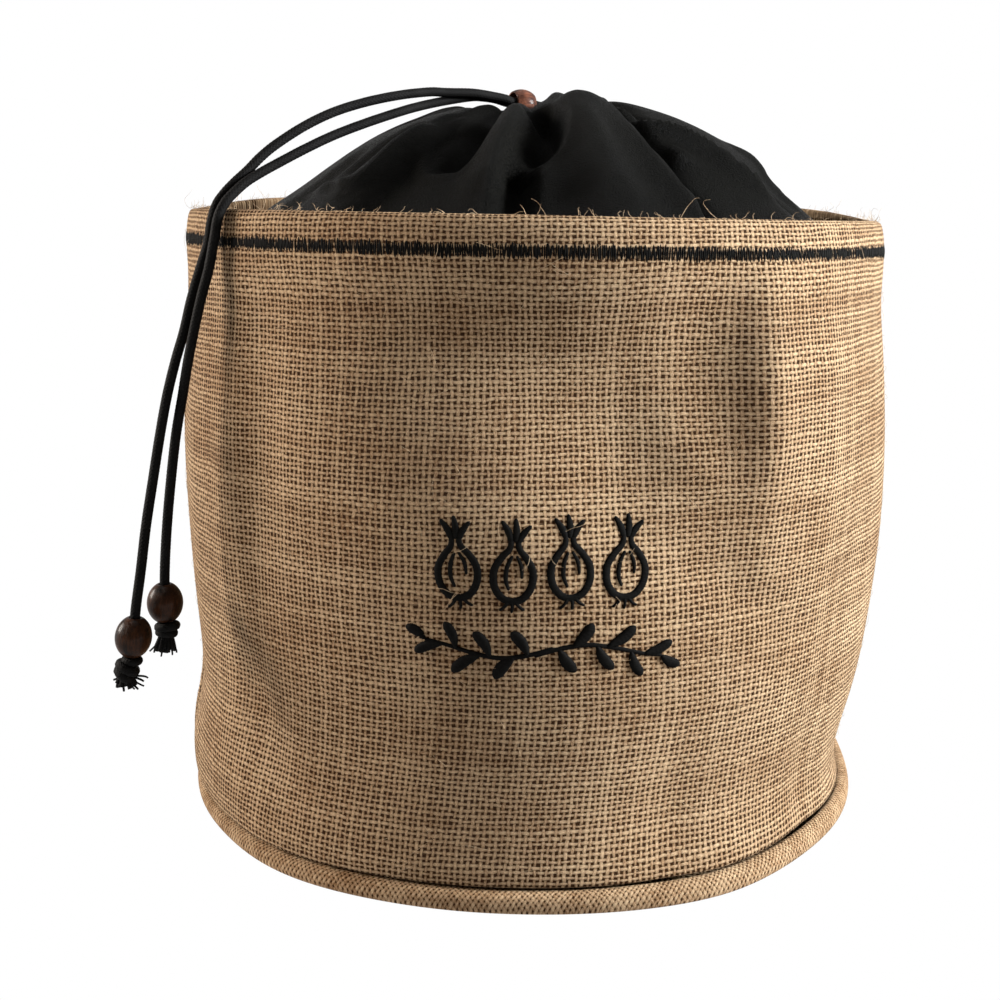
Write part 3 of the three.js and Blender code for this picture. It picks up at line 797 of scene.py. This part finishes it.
def closure_place(u, v):
    angle = 360 * u
    row = v * (len(section_rows) - 1)
    reach, rise, seam = (curve_through(section_rows, row, k) for k in (1, 2, 3))
    step = 0.25  # of a row, on each side, for the slope
    ahead = [curve_through(section_rows, row + step, k) for k in (1, 2)]
    behind = [curve_through(section_rows, row - step, k) for k in (1, 2)]
    along_reach = (ahead[0] - behind[0]) * rim_radius
    along_rise = (ahead[1] - behind[1]) * crown_rise
    length = math.hypot(along_reach, along_rise) or 1.0
    turn = math.radians(angle)
    crease = crease_lift(rim_radius * reach * math.sin(turn), -rim_radius * reach * math.cos(turn))
    lift = ((crown_rise * fold_lift(angle, reach) + crease) * (1 - smooth(seam))
            + pleat_lift(angle, reach))
    radius = rim_radius * reach + along_rise / length * lift
    z = (rim_height + crown_rise * rise + rim_rise(angle) * smooth((reach - 0.64) / 0.3)
         - along_reach / length * lift)
    return Vector((radius * math.sin(turn), -radius * math.cos(turn), z)) * MM


closure = tidy_mesh(shaped_grid("cotton_top", 360, 96, closure_place))
modify(closure, "SOLIDIFY", thickness=0.7 * MM, offset=-1)
tidy_mesh(closure)

# %% Black cotton
def cotton(name):
    """Closely woven black cotton: almost even, with a soft sheen on the folds."""
    graph = Graph(name, Roughness=0.48, Specular_IOR_Level=0.028)
    u, v = graph.uv("weave")
    u, v = u * 1900, v * 420  # threads round and threads up
    threads = (u * (2 * math.pi)).cosine() * (v * (2 * math.pi)).cosine()
    fluff = graph.ease(graph.noise(graph.place(), 1700, 2, 0.7), 0.3, 0.7)
    broad = graph.noise(graph.place(), 25, 2)
    tone = fluff * 0.55 + broad * 0.45 + threads * 0.10
    graph.feed("Base Color", graph.ramp(tone, (0.25, (0.0002, 0.0002, 0.0002)),
                                        (0.80, (0.0060, 0.0057, 0.0048))))
    graph.feed("Roughness", 0.40 + fluff * 0.25)
    graph.bump(threads * 0.3 + fluff, 0.24 * MM)
    return graph.material


black_cotton = cotton("black_cotton")
closure.data.uv_layers[0].name = "weave"
dress(closure, black_cotton, "black_cotton", "closure_panel")

# %% [markdown]
# ## Braided black cord
# The strands are already raised in the mesh, so the material only adds the fine fuzz of spun
# cotton: a mottled dark colour and a fine bump.

# %% Black cord
def braid(name):
    graph = Graph(name, Roughness=0.70, Specular_IOR_Level=0.07)
    fuzz = graph.noise(graph.place(), 2600, 2, 0.7)
    tone = fuzz * 0.7 + graph.noise(graph.place(), 160, 2) * 0.3
    graph.feed("Base Color", graph.ramp(tone, (0.35, (0.0014, 0.0013, 0.0013)),
                                        (0.7, (0.0085, 0.0078, 0.0076))))
    graph.bump(fuzz, 0.12 * MM)
    return graph.material


black_cord = braid("black_cord")
for piece, node in ((long_cord, "cord_tail_long"), (short_cord, "cord_tail_short")):
    dress(piece, black_cord, "black_cord", node)

# %% [markdown]
# ## The cord round the throat
# The same cord gathers the cloth from inside. Its solid is a plain ring, so a braided ring that
# follows the same circle stands for it.

# %% Draw loop
def braided_ring(name, middle, upward, ring_radius, tube_radius, sides=24, steps=240):
    """A ring of braided cord round an axis that points upward."""
    up = Vector(upward).normalized()
    side = up.orthogonal().normalized()
    ahead = up.cross(side)
    waves = round(ring_radius / tube_radius * 6)

    def place(u, v):
        turn, way = 2 * math.pi * u, 2 * math.pi * v
        strand = max(math.cos(6 * turn + waves * way), math.cos(6 * turn - waves * way))
        size = tube_radius * (0.94 + 0.06 * strand)
        out = side * math.cos(way) + ahead * math.sin(way)
        return middle + out * (ring_radius + size * math.cos(turn)) + up * (size * math.sin(turn))

    return tidy_mesh(shaped_grid(name, sides, steps, place))


low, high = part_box("draw_loop")
loop_radius = (high[0] - low[0]) / 2 - cord_radius
loop_height = (low[2] + high[2]) / 2
draw_cord = braided_ring("draw_cord", Vector((0, 0, loop_height)), (0, 0, 1), loop_radius,
                         cord_radius)
dress(draw_cord, black_cord, "black_cord", "draw_loop")

# %% [markdown]
# ## Wooden beads
# The beads are turned from wood, stained and polished: rounded barrels with a hole down the middle
# and a small flat round each end of it. One profile is spun about the bead's own axis. The grain
# runs along that axis, so the pattern is turned by a Mapping node to follow it.

# %% Wood
def wood(name, axis, dark, light, gloss):
    graph = Graph(name, Roughness=gloss, Coat_Weight=0.07, Coat_Roughness=0.12,
                  Specular_IOR_Level=0.07)
    turn = Vector(axis).to_track_quat("Z", "Y").inverted().to_euler()
    spot = graph.add("Mapping", {"vector_type": "POINT"},
                     {"Vector": graph.place(), "Rotation": turn})
    x, y, z = graph.split(spot)
    ring = graph.noise(graph.point(x * 420, y * 420, z * 60), 1, 3, 0.6)
    streak = graph.noise(graph.point(x * 2400, y * 2400, z * 160), 1, 2, 0.6)
    pore = graph.noise(graph.point(x * 5200, y * 5200, z * 500), 1, 1, 0.5)
    patch = graph.noise(graph.point(x * 170, y * 170, z * 120), 1, 2, 0.5)
    tone = ring * 0.42 + streak * 0.24 + patch * 0.60 - 0.13
    colour = graph.ramp(tone, (0.39, dark), (0.5, [(a + b) / 2 for a, b in zip(dark, light)]),
                        (0.61, light))
    graph.feed("Base Color", graph.mix(graph.ease(pore, 0.56, 0.66) * 0.5, colour, (*dark, 1)))
    graph.feed("Roughness", gloss + streak * 0.18)
    graph.bump(streak * 0.6 - graph.ease(pore, 0.56, 0.66), 0.05 * MM)
    return graph.material


# %% Turned beads
def turned_bead(name, node, axis, hole_radius, material, slot, flat=0.5 * MM, sides=48, rings=28):
    """A drilled bead in the place of its solid, spun about an axis through its middle."""
    corners = [vertex.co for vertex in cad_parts[node].data.vertices]
    middle = sum(corners, Vector()) / len(corners)
    ahead = Vector(axis).normalized()
    half = max((corner - middle).dot(ahead) for corner in corners)
    radius = max(((corner - middle) - ahead * (corner - middle).dot(ahead)).length
                 for corner in corners)
    side = ahead.orthogonal().normalized()
    up = ahead.cross(side)
    end_turn = math.acos((hole_radius + flat) / radius)
    profile = [(hole_radius, -half)]
    for i in range(rings + 1):
        turn = -end_turn + 2 * end_turn * i / rings
        profile.append((radius * math.cos(turn), half * math.sin(turn) / math.sin(end_turn)))
    profile.append((hole_radius, half))
    count = len(profile)

    def place(u, v):
        index = round(v * count) % count
        reach, run = profile[index]
        turn = 2 * math.pi * u
        return middle + ahead * run + (side * math.cos(turn) + up * math.sin(turn)) * reach

    bead = tidy_mesh(shaped_grid(name, sides, count, place))
    modify(bead, "BEVEL", width=0.12 * MM, segments=2, limit_method="ANGLE",
           angle_limit=math.radians(35))
    bpy.ops.object.shade_smooth_by_angle(angle=math.radians(40))
    return dress(bead, material, slot, node)


long_axis = (long_path.points[-2] - long_path.points[-1]).normalized()
short_axis = (short_path.points[-2] - short_path.points[-1]).normalized()
toggle_axis = (-0.862, -0.503, 0.072)
dark_wood = wood("dark_wood", (0.1, 0, 1), (0.0016, 0.0008, 0.0005), (0.042, 0.0145, 0.0052), 0.30)
red_wood = wood("red_wood", toggle_axis, (0.024, 0.008, 0.005), (0.155, 0.056, 0.032), 0.38)
turned_bead("turned_bead_long", "end_bead_long", long_axis, 1.9 * MM, dark_wood, "dark_wood")
turned_bead("turned_bead_short", "end_bead_short", short_axis, 1.9 * MM, dark_wood, "dark_wood")
turned_bead("turned_toggle", "toggle_bead", toggle_axis, 3.8 * MM, red_wood, "red_wood")

# %% [markdown]
# ## Knots with frayed ends
# Below each end bead the cord is knotted so that the bead can't slip off, and its cut end has
# come apart. A knot is two or three wraps of the cord. Out of it comes a short tuft of fine yarns,
# and a few of them stray further, each to an end of its own.

# %% Yarns from curves
def yarns(name, routes, radius, ends=0.6, fine=3):
    """Thin round threads through lists of points, thinner towards their ends by the factor."""
    deselect_all()
    curve = bpy.data.curves.new(name, "CURVE")
    curve.dimensions = "3D"
    curve.bevel_depth = radius
    curve.bevel_resolution = 0
    curve.use_fill_caps = True
    for route in routes:
        spline = curve.splines.new("NURBS")
        spline.points.add(len(route) - 1)
        for i, (spot, point) in enumerate(zip(spline.points, route)):
            spot.co = (*point, 1)
            spot.radius = 1 - (1 - ends) * i / (len(route) - 1)
        spline.use_endpoint_u = True
        spline.order_u = min(4, len(route))
        spline.resolution_u = fine
    piece = bpy.data.objects.new(name, curve)
    bpy.context.collection.objects.link(piece)
    pick(piece)
    bpy.ops.object.convert(target="MESH")
    return tidy_mesh(bpy.context.object)


def joined(name, pieces):
    deselect_all()
    for piece in pieces:
        piece.select_set(True)
    bpy.context.view_layer.objects.active = pieces[0]
    bpy.ops.object.join()
    pieces[0].name = name
    return pieces[0]


# %% The two knots
tuft_yarns = 36


def frayed_knot(name, node, path, wraps, tuft, strays, luck):
    """Wraps, tuft and strays are in millimetres from the cord's end: right, back and up. A wrap
    is its middle, tilt, ring radius and tube radius, and a tuft its foot, half width and depth."""
    chance = random.Random(luck)
    start = path.points[-1]
    parts = [braided_ring("wrap", start + Vector(middle) * MM, tilt, ring * MM, tube * MM, 16, 72)
             for middle, tilt, ring, tube in wraps]
    foot, spread, depth = Vector(tuft[0]), tuft[1], tuft[2]
    neck = Vector(wraps[-1][0])
    routes = []
    for i in range(tuft_yarns):
        turn, out = 2.4 * i, math.sqrt((i + 0.5) / tuft_yarns)
        aside = Vector((math.cos(turn) * spread, math.sin(turn) * depth, 0)) * out
        end = foot + aside + Vector((0, 0, chance.uniform(-1.0, 1.1)))
        waist = neck + aside * 0.55
        bends = [Vector((0, 0, -0.6)), neck * 0.8 + aside * 0.35,
                 waist * 0.5 + (foot + aside) * 0.5, end]
        routes.append([start + bend * MM for bend in bends])
    parts.append(yarns("tuft", routes, 0.80 * MM, 0.80))
    routes = []
    for end in strays:
        end = Vector(end)
        sway = [Vector([chance.uniform(-0.9, 0.9) for _ in range(3)]) for _ in range(2)]
        routes.append([start + p * MM for p in (neck * 0.9, neck.lerp(end, 0.35) + sway[0],
                                                neck.lerp(end, 0.75) + sway[1], end)])
    parts.append(yarns("strays", routes, 0.44 * MM, 0.75, 5))
    dress(joined(name, parts), black_cord, "black_cord", node)


frayed_knot(
    "frayed_knot_long", "cord_knot_long", long_path,
    [((0, 0, -1.3), (0.15, 0, 1), 2.1, 1.3), ((-1.5, 0, -3.7), (0.6, 0.2, 1), 2.4, 1.8),
     ((-2.7, 0, -6.0), (1.0, 0.3, 1), 2.0, 1.8)],
    ((-2.0, 0, -9.2), 3.3, 2.6),
    [(-5.8, -1, -7.4), (-4.4, 1, -9.8), (-2.6, -1, -11.2), (0.4, 0.5, -11.0), (1.9, -1, -10.4),
     (3.4, 0.4, -9.9), (5.0, -0.6, -6.9), (3.2, 1, -8.6)], 4)
frayed_knot(
    "frayed_knot_short", "cord_knot_short", short_path,
    [((0.4, 0, -1.6), (-0.08, 0.1, 1), 2.7, 1.5), ((0.1, 0, -3.7), (0.1, 0.2, 1), 2.2, 1.5)],
    ((-0.7, 0, -9.2), 3.5, 2.4),
    [(-5.2, -1, -9.6), (-4.3, 0.6, -10.6), (-1.6, -1, -11.3), (0, 1, -10.9), (1.9, -0.5, -11.0),
     (3.0, 0.5, -10.6)], 9)

# %% [markdown]
# ## What is worked on the hessian
# Stitches follow the wall, dents and all, so each place is found by a ray that is cast at the
# wall: inwards, at an angle and a height, for the band below the rim, and straight from the front
# for the embroidery.

# %% Places on the wall
wall_tree = BVHTree.FromPolygons([vertex.co for vertex in wall.data.vertices],
                                 [face.vertices for face in wall.data.polygons])


def cast(start, way):
    point, normal, _, _ = wall_tree.ray_cast(start, way)
    return point, normal


def outward(angle):
    return Vector((math.sin(math.radians(angle)), -math.cos(math.radians(angle)), 0))


def wall_round(angle, height):
    """The wall's outside at an angle from the front and a height: the point and its normal."""
    out = outward(angle)
    return cast(out * 0.3 + Vector((0, 0, height)), -out)


def wall_ahead(x, z):
    """The wall's outside at a place of a flat plan held in front of the bag."""
    return cast(Vector((x, -0.3, z)), Vector((0, 1, 0)))


def rim_top(angle):
    return (rim_height + rim_rise(angle)) * MM


# %% [markdown]
# ## The stitched band
# A dense zigzag in thick black thread holds the hem down. One stitch is a short rolled grid that
# dives into the cloth at both ends. It is copied round the bag, and each copy leans, and is longer
# or thicker, by chance, with a gap here and there where the jute shows.

# %% One stitch and its copies
def stitch_place(u, v):
    """A stitch of width, height and length one, rounder above than below."""
    turn = 2 * math.pi * u
    rise = math.sin(math.pi * v) ** 0.5
    return Vector((0.5 * math.cos(turn) * rise, 0.42 * math.sin(turn) * rise + 0.40 * rise - 0.42,
                   v - 0.5))


def copies(name, pattern, matrices):
    """One piece made of copies of a pattern, each with a mesh of its own until they are joined."""
    pieces = []
    for matrix in matrices:
        piece = bpy.data.objects.new(name, pattern.data.copy())
        piece.data.transform(matrix)
        bpy.context.collection.objects.link(piece)
        pieces.append(piece)
    bpy.data.objects.remove(pattern)
    return joined(name, pieces)


def stitch_matrix(point, normal, lean, width, length):
    up = (Vector((0, 0, 1)) - normal * normal.z).normalized()
    turned = Matrix.Rotation(lean, 3, normal) @ up
    side = turned.cross(normal)
    axes = Matrix((side * width, normal * width, turned * length)).transposed().to_4x4()
    return Matrix.Translation(point) @ axes


stitch = tidy_mesh(shaped_grid("stitch", 6, 6, stitch_place), 1e-9)
band_drop = 10.5 * MM
chance = random.Random(11)
places = []
angle = 0.0
while angle < 360:
    height = rim_top(angle) - band_drop + chance.uniform(-0.25, 0.25) * MM
    point, normal = wall_round(angle, height)
    lean = math.radians(3 * (-1) ** len(places) + chance.uniform(-6, 6))
    places.append(stitch_matrix(point, normal, lean, chance.uniform(0.50, 0.85) * MM,
                                chance.uniform(4.1, 6.2) * MM))
    angle += chance.uniform(0.22, 0.36) + (chance.random() > 0.97) * 0.2
stitch_band = copies("stitch_band", stitch, places)
print(len(places), "stitches")

# %% [markdown]
# ## Embroidery
# The front is worked in satin stitch: a row of onion bulbs in outline, and a sprig below. A stroke
# is a rolled grid, wide and low, that follows a line of the plan. Fine ridges across it are the
# threads. Its lower half is sunk in the cloth.

# %% A stroke of satin stitch
thread_gap = 0.30


def satin_stroke(line, widths, height=0.48):
    """A stroke along plan points in millimetres, whose width runs through the list of widths."""
    path = Path([Vector((x, 0, z)) * MM for x, z in line], 12)
    steps = max(round(path.length / (thread_gap * MM)), 8)
    rows = []
    for i in range(steps + 1):
        spot, ahead = path.at(i / steps)
        point, normal = wall_ahead(spot.x, spot.z)
        side = normal.cross(ahead).normalized()
        share = i / steps * (len(widths) - 1)
        k = min(int(share), len(widths) - 2)
        width = widths[k] + (widths[k + 1] - widths[k]) * (share - k)
        tip = min(1.0, math.sqrt(min(i, steps - i) * thread_gap / max(width / 2, 0.2)))
        ridge = 1 + 0.05 * math.cos(math.pi * i) + 0.03 * math.sin(i * 1.7)
        rows.append((point, normal, side, width / 2 * tip * ridge * MM, height * tip * ridge * MM))

    def place(u, v):
        point, normal, side, half, rise = rows[round(v * steps)]
        turn = 2 * math.pi * u
        up = math.sin(turn)
        lift = rise * (up if up > 0 else 0.5 * up)
        return point + side * (half * math.cos(turn)) + normal * lift

    return tidy_mesh(shaped_grid("stroke", 12, steps, place))


# %% A row of onion bulbs
# The line in millimetres from the bulb's middle, and the stroke's widths.
bulb_strokes = [
    ([(-0.9, 8.2), (-1.3, 5.4), (-3.4, 2.6), (-5.1, -1.0), (-4.9, -5.4), (-2.9, -8.8), (0, -9.9),
      (2.9, -8.8), (4.9, -5.4), (5.1, -1.0), (3.4, 2.6), (1.3, 5.4), (0.9, 8.2)],
     [1.6, 2.1, 2.3, 2.3, 2.2, 2.3, 2.3, 2.1, 1.6]),
    ([(-0.8, 7.0), (-1.8, 10.2), (-3.7, 13.4)], [1.6, 2.2, 1.0]),
    ([(0.1, 7.2), (0.3, 10.6), (-0.1, 14.3)], [1.6, 2.2, 1.0]),
    ([(0.9, 7.0), (2.1, 9.7), (4.2, 12.3)], [1.6, 2.1, 1.0]),
    ([(-0.4, 3.6), (-1.7, 0.2), (-1.9, -3.6), (-0.9, -6.8)], [0.9, 1.4, 1.4, 0.8]),
    ([(0.6, 3.6), (2.0, 0.4), (2.3, -3.2)], [0.8, 1.3, 0.8]),
    ([(-0.9, -9.8), (-1.9, -11.6), (-3.3, -12.8)], [1.2, 1.0, 0.8]),
    ([(0, -9.9), (0.2, -11.8), (0, -13.4)], [1.2, 1.0, 0.8]),
    ([(0.9, -9.8), (2.0, -11.4), (3.5, -12.4)], [1.2, 1.0, 0.8]),
]
bulb_pitch = 16.4
bulb_width = 1.10
bulb_heights = [0.5, -0.3, 0.4, -0.2]
bulb_leans = [-4, 3, -2, 3]
row_middle = (1.9, 104.9)
strokes = []
for i, (height, lean) in enumerate(zip(bulb_heights, bulb_leans)):
    cosine, sine = math.cos(math.radians(lean)), math.sin(math.radians(lean))
    left, foot = row_middle[0] + bulb_pitch * (i - 1.5), row_middle[1] + height
    for line, widths in bulb_strokes:
        turned = [(left + x * bulb_width * cosine + z * sine, foot + z * cosine - x * sine)
                  for x, z in line]
        strokes.append(satin_stroke(turned, widths))
bulbs = joined("embroidered_bulbs", strokes)

# %% The sprig
sprig_middle = (2.4, 79.5)
sprig_stem = [(3, 1.2), (-5, -1.0), (-13, -1.8), (-21, -0.4), (-29, 1.8), (-35, 3.0)]
# Foot, tip and greatest width of each leaf.
sprig_leaves = [
    ((-4.5, -0.9), (-9.5, 6.2), 3.6), ((-8.5, -1.5), (-14.5, -8.2), 3.8),
    ((-15.5, -1.5), (-20.5, 6.0), 3.4), ((-18.5, -1.0), (-27.0, -6.6), 3.6),
    ((-25.5, 0.8), (-29.0, 8.6), 3.2), ((-29.5, 1.9), (-38.0, -1.2), 3.2),
    ((-34.5, 2.9), (-40.5, 6.6), 3.2),
]
strokes = []
for mirror in (1, -1):
    def on_plan(x, z):
        return sprig_middle[0] + x * mirror, sprig_middle[1] + z * mirror

    strokes.append(satin_stroke([on_plan(x, z) for x, z in sprig_stem], [1.2, 1.5, 1.4, 1.3, 1.0]))
    for (x0, z0), (x1, z1), wide in sprig_leaves:
        bend = Vector((z1 - z0, x0 - x1)) * 0.07
        waist = ((x0 + x1) / 2 + bend.x, (z0 + z1) / 2 + bend.y)
        line = [on_plan(x0, z0), on_plan(*waist), on_plan(x1, z1)]
        strokes.append(satin_stroke(line, [0.7, 0.75 * wide, wide, 0.95 * wide, 0.7 * wide], 0.85))
sprig = joined("embroidered_sprig", strokes)

# %% [markdown]
# Polished cotton thread is black with a soft gleam along it. Fine lines run across each stroke,
# and along each stitch of the band.

# %% Black thread
def thread_material(name, across):
    graph = Graph(name, Roughness=0.7, Specular_IOR_Level=0.04)
    x, y, z = graph.split(graph.place())
    fluff = graph.noise(graph.place(), 1500, 3, 0.7)
    lines = graph.noise(graph.point(x * across[0], y * across[1], z * across[2]), 1, 2, 0.6)
    tone = fluff * 0.5 + lines * 0.5
    graph.feed("Base Color", graph.ramp(tone, (0.3, (0.0011, 0.0010, 0.0009)),
                                        (0.75, (0.0062, 0.0057, 0.0051))))
    graph.bump(lines + fluff * 0.5, 0.12 * MM)
    return graph.material


black_thread = thread_material("black_thread", (2600, 2600, 260))
satin_thread = thread_material("satin_thread", (700, 700, 2600))
dress(stitch_band, black_thread, "black_cotton")
for piece in (bulbs, sprig):
    dress(piece, satin_thread, "black_cotton")

# %% [markdown]
# ## The side seam
# The wall's cloth is closed at one side, where the two edges lie over each other. The lap is a low
# strip of the same hessian.

# %% Side seam
seam_low, seam_drop = 12 * MM, 15 * MM
seam_half, seam_rise = 2.6 * MM, 0.75 * MM
seam_share = 0.0135  # of the turn round the bag
seam_length = rim_top(seam_angle) - seam_drop - seam_low


def seam_place(u, v):
    point, normal = wall_round(seam_angle, seam_low + seam_length * v)
    side = Vector((0, 0, 1)).cross(normal).normalized()
    turn = 2 * math.pi * u
    up = math.sin(turn)
    end = min(1.0, 12 * v, 12 * (1 - v))
    return point + side * (seam_half * math.cos(turn)) + normal * (seam_rise * up * end)


seam = fill_ends(tidy_mesh(shaped_grid("side_seam", 12, 90, seam_place)))
seam.data.uv_layers[0].name = "weave"
for loop in seam.data.uv_layers["weave"].data:
    loop.uv = (loop.uv.x * seam_share, loop.uv.y * seam_length + 0.4 * pick_height)
dress(seam, hessian_cloth, "jute")

# %% [markdown]
# ## Stray jute
# Jute sheds. Pale fibres stand up from the folded rim, where they show best against the black
# cotton, and others lie in low curls on the wall.

# %% Stray fibres
def curl(start, way, length, wave, chance, points=6):
    """A bent fibre from a point, that leaves it in a direction and wanders."""
    route = [start]
    for _ in range(points - 1):
        way = (way + Vector([chance.uniform(-wave, wave) for _ in range(3)])).normalized()
        route.append(route[-1] + way * (length / (points - 1)))
    return route


rim_fibre_count, wall_fibre_count = 300, 900
chance = random.Random(23)
rim_fibres = []
for _ in range(rim_fibre_count):
    angle = chance.uniform(0, 360)
    out = outward(angle)
    along = Vector((out.y, -out.x, 0)) * chance.uniform(-1.3, 1.3)
    ridge = out * (wall_round(angle, rim_top(angle) - 3 * MM)[0].to_2d().length - 1.9 * MM)
    start = (ridge + Vector((0, 0, rim_top(angle) - 0.25 * MM))
             + out * chance.uniform(-1.2, 1.2) * MM)
    way = (along + out * chance.uniform(-0.9, 0.5)
           + Vector((0, 0, chance.uniform(0.4, 1.3)))).normalized()
    long_one = chance.random() > 0.91
    length = (chance.uniform(5, 12) if long_one else chance.uniform(1.2, 3.8)) * MM
    rim_fibres.append(curl(start, way, length, 0.75, chance))
wall_fibres = []
for _ in range(wall_fibre_count):
    angle = chance.uniform(0, 360)
    point, normal = wall_round(angle, chance.uniform(12 * MM, rim_top(angle) - 5 * MM))
    flat = Vector([chance.uniform(-1, 1) for _ in range(3)])
    flat = (flat - normal * flat.dot(normal)).normalized()
    route = curl(point - normal * 0.2 * MM, flat, chance.uniform(3, 11) * MM, 0.45, chance)
    lifted = []
    for k, spot in enumerate(route):
        ground, _ = cast(spot + normal * 8 * MM, -normal)
        height = 0.15 + 0.75 * math.sin(math.pi * k / (len(route) - 1)) * chance.uniform(0.4, 1.3)
        lifted.append((ground or spot) + normal * height * MM)
    wall_fibres.append(lifted)
rim_fuzz = yarns("rim_fibres", rim_fibres, 0.055 * MM, 0.5)
wall_fuzz = yarns("wall_fibres", wall_fibres, 0.050 * MM, 0.6)


# %% Pale fibre
def fibre_material(name):
    graph = Graph(name, Roughness=0.7, Specular_IOR_Level=0.15)
    tone = graph.noise(graph.place(), 260, 2, 0.6)
    graph.feed("Base Color", graph.ramp(tone, (0.35, (0.30, 0.19, 0.105)),
                                        (0.65, (0.62, 0.46, 0.30))))
    graph.bump(graph.noise(graph.place(), 4000, 1), 0.02 * MM)
    return graph.material


pale_fibre = fibre_material("pale_fibre")
for piece in (rim_fuzz, wall_fuzz):
    dress(piece, pale_fibre, "jute")

# %% [markdown]
# ## Studio
# The picture's ground is pure white with no horizon and no shadow, so the floor behind the bag and
# the wall behind it glow white. In front of the bag, outside the picture, the floor is an ordinary
# pale one. Two panels light the bag from its sides, the right one stronger, and little light comes
# from the front: that leaves the middle of the front darkest and shows each dent.

# %% Floor and backdrop
def glowing(name, low, high):
    """White by its own light where y is above high, and plain pale grey below low."""
    graph = Graph(name, Roughness=0.8, Emission_Strength=1.0, Specular_IOR_Level=0)
    y = graph.split(graph.place())[1]
    far = graph.ease(y, low, high)
    graph.feed("Base Color", graph.mix(far, (0.55, 0.55, 0.55, 1), (0, 0, 0, 1)))
    graph.feed("Emission Color", graph.mix(far, (0, 0, 0, 1), (1, 1, 1, 1)))
    return graph.material


white_ground = glowing("white_ground", -0.45, -0.22)
bpy.ops.mesh.primitive_plane_add(size=6, location=(0, 0, 0))
floor = bpy.context.object
floor.name = "floor"
bpy.ops.mesh.primitive_plane_add(size=6, location=(0, 3, 2.9), rotation=(math.radians(90), 0, 0))
backdrop = bpy.context.object
backdrop.name = "backdrop"
for ground in (floor, backdrop):
    pick(ground)
    bpy.ops.object.transform_apply(location=True, rotation=True, scale=True)
    wear(ground, white_ground)


# %% Lights
def panel(name, place, aim, size, power, colour=(1, 1, 1)):
    direction = Vector(aim) - Vector(place)
    bpy.ops.object.light_add(type="AREA", location=place,
                             rotation=direction.to_track_quat("-Z", "Y").to_euler())
    light = bpy.context.object
    light.name = name
    light.data.size = size
    light.data.energy = power
    light.data.color = colour


middle = (0, 0, 0.12)
panel("right_panel", (1.20, -0.20, 0.60), middle, 0.42, 67, (0.95, 0.985, 1.0))
panel("left_panel", (-1.20, 0.06, 0.50), middle, 0.5, 32, (1.0, 0.93, 0.85))
panel("top_panel", (0, 0.1, 1.3), middle, 0.9, 4)
world = bpy.data.worlds.new("white_studio")
world.use_nodes = True
world.node_tree.nodes["Background"].inputs["Color"].default_value = (1, 0.93, 0.83, 1)
world.node_tree.nodes["Background"].inputs["Strength"].default_value = 0.245
bpy.context.scene.world = world
bpy.context.scene.view_settings.view_transform = "Standard"

# %% [markdown]
# ## Points along the cords
# The cords and the cloth are flexible. For each tail the first point, and every twelfth point along
# it with the last, are put into lists, and nothing more is done with them.

for piece, path, side in ((long_cord, long_path, "long"), (short_cord, short_path, "short")):
    tuple(path.points[0])
    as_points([tuple(p) for p in path.points[::12]] + [tuple(path.points[-1])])
